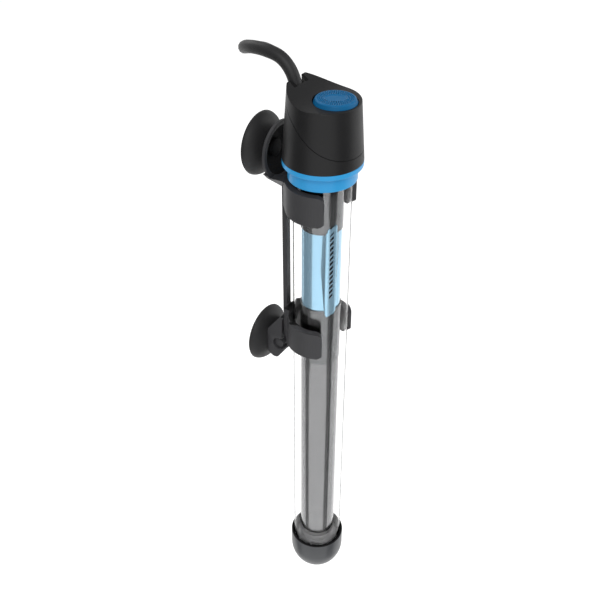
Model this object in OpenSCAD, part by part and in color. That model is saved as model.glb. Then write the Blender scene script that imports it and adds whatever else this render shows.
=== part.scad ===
// Submersible aquarium heater with a setting dial, on a bracket with two suction cups.
// Millimetres, +Z up. The origin is the centre of the upper suction cup's rim, on the
// tank wall, and +Y points into the wall. The glass tube stands along Z at y = -wall_gap.

/* [Mounting] */
// Distance from the tank wall to the tube's axis
wall_gap = 31.6; // [31:0.1:36]
// Distance between the two suction cups
cup_pitch = 100.5; // [95:0.5:130]
// Height of the collar's flange over the upper cup's centre
collar_over_cup = 1.6; // [0:0.1:4]
// Gap between the collar and the upper clip
collar_gap = 2; // [0.5:0.1:3]

/* [Glass tube] */
// Outer diameter of the glass tube
tube_d = 25; // [24:0.1:26]
// Wall of the glass tube
tube_wall = 1.2; // [1:0.1:1.5]
// Length from the end cap's rim to the collar's flange
heater_len = 225.7; // [215:0.5:260]
// Length of the tube that goes up into the head
tube_in_head = 3.5; // [3:0.1:5]
// Gap between pieces that are pushed together
push_fit = 0.05; // [0.02:0.01:0.1]
// Gap round turning pieces
running_fit = 0.05; // [0.02:0.01:0.09]

/* [End cap] */
// Wall of the end cap
cap_wall = 1.4; // [1.1:0.1:2]
// Length of the cap's straight skirt
cap_skirt = 10; // [8:0.5:14]
// Height of the cap's pointed dome
cap_dome = 15; // [14:0.1:20]

/* [Collar] */
// Wall of the collar's ring
collar_wall = 2.05; // [1.8:0.05:2.4]
// Height of the collar's ring under its flange
collar_ring_h = 6.3; // [5:0.1:8]
// Height of the collar's flange
flange_h = 2.3; // [1.8:0.1:3]
// How far the flange stands out from the ring
flange_out = 2.3; // [1.8:0.1:2.6]

/* [Head] */
// Height of the head's flat top over the flange
head_h = 25.3; // [22:0.1:30]
// How much the head's radius shrinks from flange to flat top
head_draft = 1.8; // [1:0.1:2.4]
// Radius of the hollow ramp that rises to the rear
ramp_r = 22.2; // [20:0.1:30]
// Where the ramp starts behind the tube's axis
ramp_start = -2; // [-4:0.5:0]
// Rounding of the head's front top edge
head_round = 0.5; // [0.4:0.1:1.4]
// Wall of the head's shells
head_wall = 3.2; // [2.6:0.1:3.6]
// Thickness of the head's top
head_top = 2.8; // [2.4:0.1:3.4]

/* [Dial] */
// Distance of the dial's axis in front of the tube's axis
dial_front = 5.3; // [5:0.1:5.6]
// Radius of the dial's foot
dial_r = 8.8; // [8:0.1:9]
// Radius of the dial's top face
dial_top_r = 8.3; // [7.5:0.1:8.4]
// How far the dial stands over the flat top
dial_up = 1.6; // [1.2:0.1:3]
// Depth of the dial's recess in the head
recess_depth = 0.8; // [0.5:0.1:1.2]
// Gap round the dial in its recess
recess_gap = 0.25; // [0.2:0.05:0.5]
// Radius of the dial's spindle
spindle_r = 2; // [1.6:0.1:2.3]
// Length of the spindle
spindle_len = 36; // [34:0.5:38]

/* [Bracket] */
// Gap between a clip and the glass
clip_fit = 0.1; // [0.05:0.01:0.2]
// Thickness of the clips
clip_wall = 2; // [1.6:0.1:2.2]
// Height of each clip
clip_h = 14.5; // [10:0.5:16]
// Half of the angle that the clips reach round the tube
clip_reach = 125; // [110:1:135]
// Rounding of the clips' corners
clip_round = 3.5; // [2:0.1:5]
// Height of the lower clip's bottom over the lower cup's centre
clip_over_pin = 7.9; // [7.5:0.1:9]
// Height of the dish web's foot over the upper clip's bottom
web_up = 9.4; // [6:0.1:10]
// How far the web's corners sit under the upper cup's centre
web_corner = 6.8; // [6:0.1:8]
// Half width of the spine
spine_half = 5.2; // [4:0.1:6]
// Thickness of the spine
spine_t = 3.65; // [3:0.05:3.9]
// Gap between the spine and the tube's surface
spine_gap = 0.7; // [0.4:0.1:1]
// Fillet between the lower clip and the spine
web_fillet = 9; // [5:0.5:10]
// Outer radius of the upper cup's dish
dish_r = 12.6; // [11.5:0.1:13.5]
// Wall of the dish
dish_wall = 1.7; // [1.3:0.1:2.2]
// Thickness of the plate that a cup's neck goes through
plate_t = 1.3; // [1:0.1:1.6]
// Radius of the hinge pin
pin_r = 2.2; // [1.8:0.05:2.4]
// Distance of the hinge pin from the tank wall
pin_gap = 11.9; // [11.5:0.1:12.5]
// Height of the hinge pin over the lower cup's centre
pin_up = 0.9; // [0:0.1:2]
// Thickness of the tongue that carries the pin
tongue_t = 3.4; // [2.4:0.1:4]
// Half width of the lower cup's holder
holder_half = 6; // [5.6:0.1:6.6]
// Gap between the spine and the holder
holder_gap = 1.05; // [1:0.05:1.5]
// Height of the holder's top over the lower cup's centre
holder_up = 15.4; // [12:0.1:15.6]

/* [Suction cups] */
// Radius of a cup's rim
cup_r = 14; // [12.5:0.1:14]
// Depth from the rim to the cup's back
cup_h = 5.8; // [5.6:0.1:6.2]
// Depth of the cup's hollow
cup_hollow = 4.3; // [3.8:0.1:4.4]
// Width of the flat rim
cup_lip = 1.2; // [0.8:0.1:1.6]
// Radius of a cup's neck
neck_r = 2.6; // [2.2:0.1:2.8]
// Radius of the knob behind the neck
knob_r = 4; // [3.4:0.1:4.2]
// Thickness of the knob
knob_t = 1.7; // [1.2:0.1:1.8]

/* [Thermostat] */
// Length of the carrier over the sleeve
carrier_len = 23; // [20:0.5:28]
// Radius over the carrier's ribs
carrier_r = 9.3; // [9:0.1:10]
// Outer radius of the light blue sleeve
sleeve_r = 8.7; // [8.2:0.1:9]
// Wall of the sleeve
sleeve_wall = 1.2; // [1:0.1:1.4]
// Length of the sleeve
sleeve_len = 39.5; // [38:0.5:44]
// Thickness of the sleeve's slotted rail
rail_t = 0.9; // [0.6:0.1:1]
// Width of the rail
rail_w = 9.6; // [8:0.1:10]
// How far the rail reaches over the sleeve's top
rail_over = 5.5; // [4:0.1:6]
// How far the rail reaches under the sleeve's lower end
rail_under = 3.6; // [3:0.1:5]
// Number of slots in the rail
slot_n = 14; // [8:1:14]
// Distance between slots
slot_pitch = 2.45; // [2.2:0.05:2.6]
// How far the row of slots sits over the sleeve's middle
slot_up = 4.4; // [2:0.1:5]
// Turn of the inner parts about the tube's axis
inner_turn = -31; // [-40:1:0]

/* [Heating element] */
// Outer radius of the element's sheath
sheath_r = 8.4; // [8:0.1:8.6]
// Wall of the sheath
sheath_wall = 0.9; // [0.6:0.1:1.2]
// Radius of the ceramic core
core_r = 5.5; // [4.5:0.1:6]
// Thickness of the resistance winding
winding_t = 0.7; // [0.4:0.1:1]
// Height of the foot's top over the end cap's rim
foot_top = 5; // [3:0.5:7]
// Length of the dark holder between the thermostat's sleeve and the element's sheath
holder_len = 30.6; // [26:0.1:34]
// Depth of the holder's socket for the ceramic core
socket_depth = 6; // [4:0.5:10]

/* [Cord] */
// Diameter of the mains cord
cord_d = 4.8; // [4.4:0.1:5]
// Lean of the cord where it leaves the head
cord_lean = 23; // [20:1:26]
// How far the cord's outlet lies inside the flange's edge
outlet_in = 6.35; // [6:0.05:6.8]
// Depth of the cord's outlet under the flat top
outlet_down = 3.5; // [3:0.1:4]
// Length of the bush that grips the cord
bush_len = 8; // [6:0.5:9]
// Gap round the cord in the head's notch
notch_gap = 0.5; // [0.4:0.1:0.8]
// How much the notch widens on each side towards the rear
notch_flare = 2.4; // [0:0.1:3]
// Length of the hank's straight runs
hank_run = 96; // [80:1:110]
// Bend radius of the hank's inner folds
fold_r = 14.4; // [14.4:0.1:16]
// Distance between neighbouring turns of the hank
turn_step = 5.7; // [5.6:0.1:6.2]
// Distance between the hank's two layers
layer_step = 5.5; // [5.4:0.1:6]
// Width of the hank's tie
tie_w = 9; // [6:0.5:12]
// Thickness of the hank's tie
tie_t = 1; // [0.8:0.1:1.6]
// Length of the plug's body
plug_len = 36; // [32:1:42]
// Width of the plug's face
plug_w = 35.3; // [34:0.1:36]
// Thickness of the plug
plug_t = 13.7; // [13:0.1:14]
// Radius of a plug pin
plug_pin_r = 2; // [1.8:0.1:2.2]
// Length of a plug pin
plug_pin_len = 19; // [17:0.5:20]
// Distance between the plug pins
plug_pin_pitch = 18.6; // [17:0.1:19]

/* [Hidden] */
fine = 96;
eps = 0.01;

// Heights below are measured from the end cap's rim, and y from the tube's axis
tube_r = tube_d / 2;
bore_r = tube_r - tube_wall;
cup_z = heater_len - collar_over_cup;
low_cup_z = cup_z - cup_pitch;
collar_z = heater_len - flange_h - collar_ring_h;
collar_r = tube_r + collar_wall;
flange_r = collar_r + flange_out;
flat_z = heater_len + head_h;
tube_top = heater_len + tube_in_head;
head_in = flange_r - head_draft - head_wall;
up_clip_z = collar_z - collar_gap - clip_h;
low_clip_z = low_cup_z + clip_over_pin;
clip_in = tube_r + clip_fit;
clip_out = clip_in + clip_wall;
spine_in = tube_r + spine_gap;
spine_out = spine_in + spine_t;
back_y = wall_gap - cup_h;
plate_y = back_y - plate_t;
dish_front = wall_gap - 11.3;
pin_y = wall_gap - pin_gap;
pin_z = low_cup_z + pin_up;
dial_low = flat_z - recess_depth + running_fit;
top_in = flat_z - head_top;
spindle_low = dial_low - spindle_len;
carrier_top = collar_z - 0.05;
sleeve_top = carrier_top - carrier_len;
sleeve_low = sleeve_top - sleeve_len;
holder_low = sleeve_low - holder_len;
bush_r = cord_d / 2 + notch_gap;
outlet_y = flange_r - outlet_in;
rear_y = flange_r - 3.75;

module at_tube() {
    translate([0, -wall_gap, collar_over_cup - heater_len])
    children();
}

module ring(r_out, r_in, z0, z1) {
    translate([0, 0, z0])
    difference() {
        cylinder(r = r_out, h = z1 - z0, $fn = fine);
        translate([0, 0, -1])
        cylinder(r = r_in, h = z1 - z0 + 2, $fn = fine);
    }
}

// A solid pushed along X, drawn in the plane of y and z
module side_plate(half) {
    translate([-half, 0, 0])
    rotate([90, 0, 90])
    linear_extrude(height = 2 * half)
    children();
}

// A solid from the tube's axis to y, drawn in the plane of x and z
module front_plate(y) {
    translate([0, y, 0])
    rotate([90, 0, 0])
    linear_extrude(height = y)
    children();
}

// A shape turned about an axis that points at the wall, drawn as radius and y
module turned_to_wall(z) {
    translate([0, 0, z])
    rotate([-90, 0, 0])
    rotate_extrude($fn = fine)
    children();
}

// ---------- tube and end cap ----------

module test_tube(r) {
    translate([0, 0, -cap_skirt])
    cylinder(r = r, h = tube_top + cap_skirt, $fn = fine);
    translate([0, 0, -cap_skirt])
    sphere(r = r, $fn = fine);
}

module glass_tube() {
    color("lightcyan")
    at_tube()
    difference() {
        test_tube(tube_r);
        test_tube(bore_r);
        translate([0, 0, tube_top - eps])
        cylinder(r = bore_r, h = 1, $fn = fine);
    }
}

module end_cap() {
    r_cap = tube_r + push_fit + cap_wall;
    steps = 12;
    color("dimgray")
    at_tube()
    difference() {
        rotate_extrude($fn = fine)
        polygon(concat(
            [[0, -0.6], [r_cap - 0.6, -0.6], [r_cap - 0.6, 0], [r_cap, -0.5]],
            [for (i = [0 : steps]) let (a = 90 * i / steps)
                [r_cap * cos(a), -cap_skirt - cap_dome * sin(a)]]));
        translate([0, 0, -cap_skirt])
        cylinder(r = tube_r + push_fit, h = cap_skirt + 1, $fn = fine);
        translate([0, 0, -cap_skirt])
        sphere(r = tube_r + push_fit, $fn = fine);
    }
}

// ---------- collar and head ----------

module collar() {
    c = 0.4;
    color("deepskyblue")
    at_tube()
    difference() {
        translate([0, 0, collar_z])
        rotate_extrude($fn = fine)
        polygon([[0, 0], [collar_r - c, 0], [collar_r, c], [collar_r, collar_ring_h - 0.8],
            [collar_r + 0.8, collar_ring_h], [flange_r - c, collar_ring_h],
            [flange_r, collar_ring_h + c], [flange_r, collar_ring_h + flange_h],
            [0, collar_ring_h + flange_h]]);
        translate([0, 0, collar_z - 1])
        cylinder(r = tube_r + push_fit, h = collar_ring_h + flange_h + 2, $fn = fine);
    }
}

function head_r(z) = flange_r - head_draft * (z - heater_len) / head_h;

// Point at t of the curved line along which the head's two shells part, as y and z
function part_line(t) = let (u = 1 - t)
    [-flange_r - 0.15, heater_len + 4.75] * u * u * u
    + [0, heater_len + 9.05] * 3 * u * u * t
    + [flange_r * 0.3, heater_len + 23.3] * 3 * u * t * t
    + [flange_r + 5.9, flat_z + 7] * t * t * t;

module front_side() {
    side_plate(30)
    polygon(concat([for (i = [0 : 16]) part_line(i / 16)],
        [[flange_r + 5.9, flat_z + 12], [-30, flat_z + 12], [-30, heater_len + 3]]));
}

// The head's outside: a drafted drum, flat in front, with a hollow ramp up to the rear
module head_outside() {
    rear_top = flat_z + 7;
    rotate_extrude($fn = fine)
    union() {
        polygon([[0, heater_len], [flange_r, heater_len],
            [head_r(flat_z - head_round), flat_z - head_round],
            [head_r(flat_z) - head_round, flat_z - head_round],
            [head_r(flat_z) - head_round, flat_z], [0, flat_z]]);
        translate([head_r(flat_z - head_round) - head_round, flat_z - head_round])
        circle(r = head_round, $fn = 32);
    }
    difference() {
        translate([0, 0, heater_len])
        rotate_extrude($fn = fine)
        polygon([[0, 0], [flange_r, 0], [head_r(rear_top), rear_top - heater_len],
            [0, rear_top - heater_len]]);
        side_plate(40) {
            translate([ramp_start, flat_z + ramp_r])
            circle(r = ramp_r, $fn = 128);
            translate([-40, heater_len - 1])
            square([40 + ramp_start, head_h + 40]);
        }
    }
}

module cord_axis() {
    translate([0, outlet_y, flat_z - outlet_down])
    rotate([-cord_lean, 0, 0])
    children();
}

module head_shell() {
    difference() {
        head_outside();
        translate([0, 0, heater_len - 1])
        cylinder(r = tube_r + push_fit, h = tube_in_head + 1, $fn = fine);
        translate([0, 0, tube_top - eps])
        cylinder(r = head_in, h = top_in - tube_top, $fn = fine);
        // rear of the top is cut off in a leaning plane
        translate([-20, rear_y, flat_z + 6])
        rotate([11.6, 0, 0])
        translate([0, 0, -17])
        cube([40, 20, 30]);
        // recess and bore of the dial
        translate([0, -dial_front, flat_z - recess_depth])
        cylinder(r = dial_r + recess_gap, h = 10, $fn = fine);
        translate([0, -dial_front, tube_top])
        cylinder(r = spindle_r + running_fit, h = head_h, $fn = 48);
    }
}

// The bush's seat and, over it, the notch that the cord rises in: straight in front,
// flaring and open to the rear
module cord_notch() {
    cord_axis() {
        translate([0, 0, -bush_len - 3])
        cylinder(r = bush_r, h = bush_len + 4, $fn = 48);
        linear_extrude(height = 30)
        polygon([[-bush_r, -bush_r], [bush_r, -bush_r], [bush_r + notch_flare, 1.2],
            [bush_r + notch_flare, 24], [-bush_r - notch_flare, 24],
            [-bush_r - notch_flare, 1.2]]);
    }
}

module head_base() {
    color("dimgray")
    at_tube()
    difference() {
        union() {
            head_shell();
            intersection() {
                head_outside();
                cord_axis()
                translate([0, 0, -bush_len])
                cylinder(r = bush_r + 1.6, h = bush_len + 2, $fn = 48);
            }
        }
        front_side();
        cord_notch();
    }
}

module head_cover() {
    boss_h = 4.8;
    color("darkslategray")
    at_tube()
    difference() {
        union() {
            intersection() {
                head_shell();
                front_side();
            }
            translate([0, -dial_front, top_in - boss_h])
            cylinder(r = spindle_r + 2.6, h = boss_h + 0.5, $fn = 48);
        }
        translate([0, -dial_front, tube_top])
        cylinder(r = spindle_r + running_fit, h = head_h, $fn = 48);
        translate([0, -dial_front, top_in - boss_h - 1])
        cylinder(r = spindle_r + 1.4, h = 3, $fn = 48);
        cord_notch();
    }
}

module dial_seal() {
    color("black")
    at_tube()
    translate([0, -dial_front, top_in - 3.6])
    rotate_extrude($fn = 48)
    translate([spindle_r + 0.72, 0])
    circle(r = 0.68, $fn = 24);
}

module dial() {
    edge = 0.8;
    h = recess_depth + dial_up - running_fit;
    color("steelblue")
    at_tube()
    translate([0, -dial_front, dial_low])
    difference() {
        rotate_extrude($fn = fine)
        union() {
            polygon([[0, 0], [dial_r, 0], [dial_r, recess_depth],
                [dial_top_r, h - edge], [dial_top_r - edge, h - edge],
                [dial_top_r - edge, h], [0, h]]);
            translate([dial_top_r - edge, h - edge])
            circle(r = edge, $fn = 32);
        }
        // smooth oval hollow in the middle of the face
        translate([0, 0, h - 0.25])
        rotate([0, 0, -56])
        linear_extrude(height = 1)
        union() {
            translate([-1.2, 0])
            circle(r = 3.1, $fn = 48);
            translate([1.2, 0])
            circle(r = 3.1, $fn = 48);
            square([2.4, 6.2], center = true);
        }
    }
}

module dial_spindle() {
    color("silver")
    at_tube()
    translate([0, -dial_front, spindle_low])
    cylinder(r = spindle_r, h = spindle_len, $fn = 48);
}

module wire_pair(z0, z1, r) {
    for (side = [-1, 1])
    translate([side * 1.6, outlet_y - bush_len * sin(cord_lean), z0])
    cylinder(r = r, h = z1 - z0, $fn = 24);
}

bush_low = flat_z - outlet_down - bush_len * cos(cord_lean);

module tube_bung() {
    color("gray")
    at_tube()
    difference() {
        translate([0, 0, carrier_top])
        cylinder(r = bore_r, h = tube_top - carrier_top, $fn = fine);
        translate([0, -dial_front, carrier_top - 1])
        cylinder(r = spindle_r + running_fit, h = 30, $fn = 48);
        wire_pair(carrier_top - 1, tube_top + 1, 0.85);
    }
}

module cord_gland() {
    color("black")
    at_tube()
    cord_axis()
    translate([0, 0, -bush_len])
    cylinder(r = bush_r, h = bush_len, $fn = 48);
}

module lead_wires() {
    color("sienna")
    at_tube()
    wire_pair(carrier_top, bush_low - 0.3, 0.8);
}

// ---------- thermostat ----------

module thermostat_carrier() {
    ribs = 12;
    color("dimgray")
    at_tube()
    difference() {
        rotate([0, 0, inner_turn])
        union() {
            translate([0, 0, sleeve_top])
            cylinder(r = carrier_r - 0.9, h = carrier_len, $fn = fine);
            translate([0, 0, carrier_top - 2.4])
            cylinder(r = carrier_r, h = 2.4, $fn = fine);
            for (k = [0 : ribs - 1])
            rotate([0, 0, k * 360 / ribs])
            translate([carrier_r - 2, -0.9, sleeve_top])
            cube([1.9, 1.8, carrier_len]);
        }
        translate([0, -dial_front, spindle_low - 0.5])
        cylinder(r = spindle_r + running_fit, h = 20, $fn = 48);
        // room for the sleeve's rail between the ribs
        intersection() {
            ring(carrier_r + 2, sleeve_r - push_fit, sleeve_top - 1, rail_high + 1);
            on_rail(8)
            rounded_rect(rail_w + 0.2, rail_low, rail_high + 0.1, 2.6);
        }
    }
}

rail_a = inner_turn - 90;
rail_low = sleeve_low - rail_under;
rail_high = sleeve_top + rail_over;
sleeve_in = sleeve_r - sleeve_wall;
blade_free = sleeve_len * 0.2;

// A plate that stands on the sleeve at the rail's angle, drawn as width and height
module on_rail(depth) {
    rotate([0, 0, rail_a + 90])
    translate([0, -sleeve_r + 3, 0])
    rotate([90, 0, 0])
    linear_extrude(height = depth)
    children();
}

module rounded_rect(w, z0, z1, r) {
    translate([-w / 2 + r, z0])
    square([w - 2 * r, z1 - z0]);
    translate([-w / 2, z0 + r])
    square([w, z1 - z0 - 2 * r]);
    for (x = [r - w / 2, w / 2 - r], z = [z0 + r, z1 - r])
    translate([x, z])
    circle(r = r, $fn = 32);
}

module thermostat_sleeve() {
    mid = (sleeve_low + sleeve_top) / 2 + slot_up;
    color("lightblue")
    at_tube()
    difference() {
        union() {
            ring(sleeve_r, sleeve_r - sleeve_wall, sleeve_low, sleeve_top);
            intersection() {
                ring(sleeve_r + rail_t, sleeve_r, rail_low - 1, rail_high + 1);
                on_rail(8)
                rounded_rect(rail_w, rail_low, rail_high, 2.6);
            }
        }
        for (k = [0 : slot_n - 1])
        on_rail(8)
        translate([0, mid + (k - (slot_n - 1) / 2) * slot_pitch])
        square([1.3, slot_pitch * 0.57], center = true);
    }
}

module inside_sleeve() {
    at_tube()
    rotate([0, 0, inner_turn])
    children();
}

module bimetal_strip() {
    color("goldenrod")
    inside_sleeve()
    translate([-sleeve_in / 3, -sleeve_in * 0.32, sleeve_low + blade_free * 0.75])
    cube([sleeve_in * 2 / 3, sleeve_wall * 2 / 3, sleeve_len - blade_free * 0.75]);
}

module contact_blade() {
    color("peru")
    inside_sleeve()
    translate([-sleeve_in / 4, sleeve_in * 0.16, sleeve_low + blade_free])
    cube([sleeve_in / 2, sleeve_wall * 0.4, sleeve_len - blade_free]);
}

module contacts() {
    color("silver")
    inside_sleeve()
    translate([0, 0, sleeve_low + blade_free * 1.4]) {
        low_y = -sleeve_in * 0.32 + sleeve_wall * 2 / 3;
        high_y = sleeve_in * 0.16;
        h = (high_y - low_y) * 0.4;
        translate([0, low_y, 0])
        rotate([-90, 0, 0])
        cylinder(r = sleeve_in * 0.18, h = h, $fn = 32);
        translate([0, high_y - h, 0])
        rotate([-90, 0, 0])
        cylinder(r = sleeve_in * 0.18, h = h, $fn = 32);
    }
}

module pilot_lamp() {
    color("orange")
    inside_sleeve()
    translate([0, 4.4, sleeve_top - 12])
    cylinder(r = 2.2, h = 12, $fn = 32);
}

// ---------- heating element ----------

module element_sheath() {
    color("lightgray")
    at_tube()
    ring(sheath_r, sheath_r - sheath_wall, foot_top, holder_low);
}

module element_holder() {
    color("dimgray")
    at_tube()
    difference() {
        translate([0, 0, holder_low])
        cylinder(r = sheath_r, h = holder_len, $fn = fine);
        translate([0, 0, holder_low - 1])
        cylinder(r = core_r + push_fit, h = socket_depth + 1, $fn = fine);
    }
}

module element_foot() {
    color("dimgray")
    at_tube()
    intersection() {
        translate([0, 0, -cap_skirt - tube_d])
        cylinder(r = sheath_r + 0.3, h = cap_skirt + tube_d + foot_top, $fn = fine);
        union() {
            translate([0, 0, -cap_skirt])
            sphere(r = bore_r - 0.02, $fn = fine);
            translate([0, 0, -cap_skirt])
            cylinder(r = bore_r - 0.02, h = cap_skirt + foot_top, $fn = fine);
        }
    }
}

module ceramic_core() {
    color("ivory")
    at_tube()
    ring(core_r, 1.5, foot_top, holder_low + socket_depth);
}

module heating_winding() {
    color("slategray")
    at_tube()
    ring(core_r + winding_t, core_r, foot_top + 8, holder_low - 8);
}

// ---------- bracket and cups ----------

module clip(z0) {
    open_a = clip_reach - 90;
    far = 40;
    difference() {
        ring(clip_out, clip_in, z0, z0 + clip_h);
        translate([0, 0, z0 - 1])
        linear_extrude(height = clip_h + 2)
        polygon([[0, 0], [far * cos(-open_a), far * sin(-open_a)], [far, -far - 30],
            [-far, -far - 30], [-far * cos(-open_a), far * sin(-open_a)]]);
        // rounded corners of the two arms
        for (side = [-1, 1], up = [0, 1])
        mirror([side < 0 ? 1 : 0, 0, 0])
        translate([0, 0, z0 + up * clip_h])
        mirror([0, 0, up])
        rotate([0, 0, -open_a])
        translate([clip_in - 1, 0, 0])
        rotate([90, 0, 90])
        linear_extrude(height = clip_wall + 2)
        difference() {
            translate([-1, -1])
            square(clip_round + 1);
            translate([0.96 * clip_round, 0.96 * clip_round])
            circle(r = clip_round, $fn = 48);
        }
    }
}

// Fillet web between a clip's edge at z and the sides of the spine
module clip_web(z, r, up) {
    intersection() {
        ring(clip_out, clip_in, z - r - 1, z + r + 1);
        translate([0, 30, z])
        mirror([0, 0, up ? 0 : 1])
        rotate([90, 0, 0])
        linear_extrude(height = 30)
        for (side = [0, 1])
        mirror([side, 0])
        difference() {
            translate([0, -1])
            square([spine_half + r, r + 1]);
            translate([spine_half + 0.98 * r, 0.98 * r])
            circle(r = r, $fn = 64);
        }
    }
}

module dish() {
    difference() {
        turned_to_wall(cup_z)
        polygon([[0, dish_front], [dish_r, dish_front], [dish_r, dish_front + 1.3],
            [dish_r - 2.3, dish_front + 2.8], [dish_r - 4, dish_front + 4], [6.5, back_y],
            [0, back_y]]);
        turned_to_wall(cup_z)
        polygon([[0, dish_front - 1], [dish_r - dish_wall, dish_front - 1],
            [dish_r - dish_wall, dish_front], [dish_r - dish_wall - 1.6, dish_front + 2.2],
            [6.6, plate_y], [0, plate_y]]);
        turned_to_wall(cup_z)
        square([neck_r + running_fit, wall_gap]);
    }
}

// Web that widens from the spine to the dish
module dish_web() {
    web_z = up_clip_z + web_up;
    wide = dish_r - 0.7;
    difference() {
        intersection() {
            side_plate(dish_r - 0.6)
            polygon([[clip_in + 0.8, web_z - 1], [spine_out, web_z - 1],
                [dish_front + 1.6, cup_z - dish_r + 1.4], [dish_front + 4, cup_z - 7],
                [dish_front, cup_z - 8], [dish_front, cup_z - dish_r + 2.8],
                [clip_in + 0.8, up_clip_z + clip_h]]);
            front_plate(dish_front + 2)
            polygon([[0.4 - spine_half, web_z - 0.4], [spine_half - 0.4, web_z - 0.4],
                [wide, cup_z - web_corner], [wide, cup_z], [-wide, cup_z],
                [-wide, cup_z - web_corner]]);
        }
        translate([0, 0, up_clip_z - 1])
        cylinder(r = clip_in, h = 60, $fn = fine);
        turned_to_wall(cup_z)
        polygon([[0, dish_front - 3], [dish_r - dish_wall, dish_front - 3],
            [dish_r - dish_wall, dish_front],
            [dish_r - dish_wall - 1.6, dish_front + 2.2], [6.6, plate_y], [0, plate_y]]);
    }
}

module bracket() {
    top_z = up_clip_z + clip_h;
    color("dimgray")
    at_tube() {
        clip(up_clip_z);
        clip(low_clip_z);
        clip_web(low_clip_z + clip_h, web_fillet, true);
        clip_web(up_clip_z, 3, false);
        translate([-spine_half, spine_in, low_clip_z])
        cube([2 * spine_half, spine_t, top_z - low_clip_z]);
        dish();
        dish_web();
        // tongue with the hinge pin of the lower cup
        side_plate(tongue_t / 2)
        union() {
            polygon([[clip_out + 0.2, low_clip_z - 1], [spine_out - 1, low_clip_z + 9],
                [spine_out, low_clip_z + 9], [pin_y + pin_r, pin_z + 0.5],
                [pin_y, pin_z - pin_r], [clip_out + 1.6, pin_z + 1]]);
            translate([pin_y, pin_z])
            circle(r = pin_r, $fn = 48);
        }
        translate([-spine_half, pin_y, pin_z])
        rotate([0, 90, 0])
        cylinder(r = pin_r, h = 2 * spine_half, $fn = 48);
    }
}

// The hook's opening: round behind the pin, with a mouth in front of it
module holder_bore(extra) {
    translate([pin_y, pin_z]) {
        circle(r = pin_r + extra, $fn = 48);
        polygon([[0, -pin_r * 0.8], [-12, -pin_r * 0.8], [-12, pin_r * 2], [-1, pin_r * 1.5],
            [pin_r * 0.5, pin_r * 0.85]]);
    }
}

// Block behind the spine, with a hook under the pin
module holder_outline() {
    front = spine_out + holder_gap;
    translate([0, low_cup_z])
    polygon(concat([[front, holder_up], [front + 2.1, holder_up], [back_y + 0.5, 6.9],
        [back_y + 0.5, -5.2], [pin_y + 4.9, -6.9]],
        [for (a = [-55 : -15 : -130])
            [pin_y + 2.4 + 3.2 * cos(a), -4.6 + 3.2 * sin(a)]],
        [[pin_y - 2.9, -2.3], [pin_y - 2.9, -1], [front, 0.6]]));
}

module lower_cup_holder() {
    ear_in = holder_half - 2.1;
    color("dimgray")
    at_tube()
    difference() {
        intersection() {
            side_plate(holder_half)
            difference() {
                holder_outline();
                holder_bore(running_fit);
            }
            // sides that lean in over the cup
            front_plate(back_y + 2)
            translate([0, low_cup_z])
            polygon([[-holder_half, -12], [holder_half, -12], [holder_half, 6],
                [holder_half - 1.2, 20], [1.2 - holder_half, 20], [-holder_half, 6]]);
        }
        // wider mouth round the ends of the pin
        for (side = [0, 1])
        mirror([side, 0, 0])
        translate([spine_half - 0.9, pin_y, pin_z])
        rotate([0, 90, 0])
        cylinder(r = pin_r + 0.9, h = holder_half, $fn = 48);
        // slot for the bracket's tongue
        translate([-tongue_t / 2 - 0.35, 0, low_cup_z - 20])
        cube([tongue_t + 0.7, pin_y + pin_r + 0.6, 40]);
        // space between the two ears over the block
        translate([-ear_in, 0, low_cup_z + knob_r + 2.6])
        cube([2 * ear_in, wall_gap, 20]);
        // seat of the cup's back, neck and knob
        turned_to_wall(low_cup_z)
        polygon([[0, plate_y - knob_t - 0.1], [knob_r + 0.1, plate_y - knob_t - 0.1],
            [knob_r + 0.1, plate_y], [neck_r + running_fit, plate_y],
            [neck_r + running_fit, back_y], [20, back_y], [20, wall_gap],
            [0, wall_gap]]);
    }
}

// A suction cup: flat rim, domed outside, hollow, neck and knob
module cup(z) {
    dome = cup_h * 1.2;
    n = 8;
    turned_to_wall(z)
    polygon(concat(
        [for (i = [0 : n]) let (d = cup_h * i / n)
            [cup_r * sqrt(1 - d * d / dome / dome), wall_gap - d]],
        [[neck_r, back_y], [neck_r, plate_y], [knob_r, plate_y],
        [knob_r, plate_y - knob_t + 0.6], [knob_r - 0.8, plate_y - knob_t],
        [0, plate_y - knob_t], [0, wall_gap - cup_hollow]],
        [for (i = [n : -1 : 0]) let (d = cup_hollow * i / n)
            [(cup_r - cup_lip) * sqrt(1 - d * d / cup_hollow / cup_hollow),
            wall_gap - d]]));
}

module upper_cup() {
    color("darkgray")
    at_tube()
    cup(cup_z);
}

module lower_cup() {
    color("darkgray")
    at_tube()
    cup(low_cup_z);
}

// ---------- cord, hank and plug ----------

function unit(v) = v / norm(v);
function headings(p) = [for (i = [0 : len(p) - 1])
    unit(p[min(i + 1, len(p) - 1)] - p[max(i - 1, 0)])];
function sides(t, s, i, out) = i == len(t) ? out :
    let (m = unit(s - (s * t[i]) * t[i])) sides(t, m, i + 1, concat(out, [m]));

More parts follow.
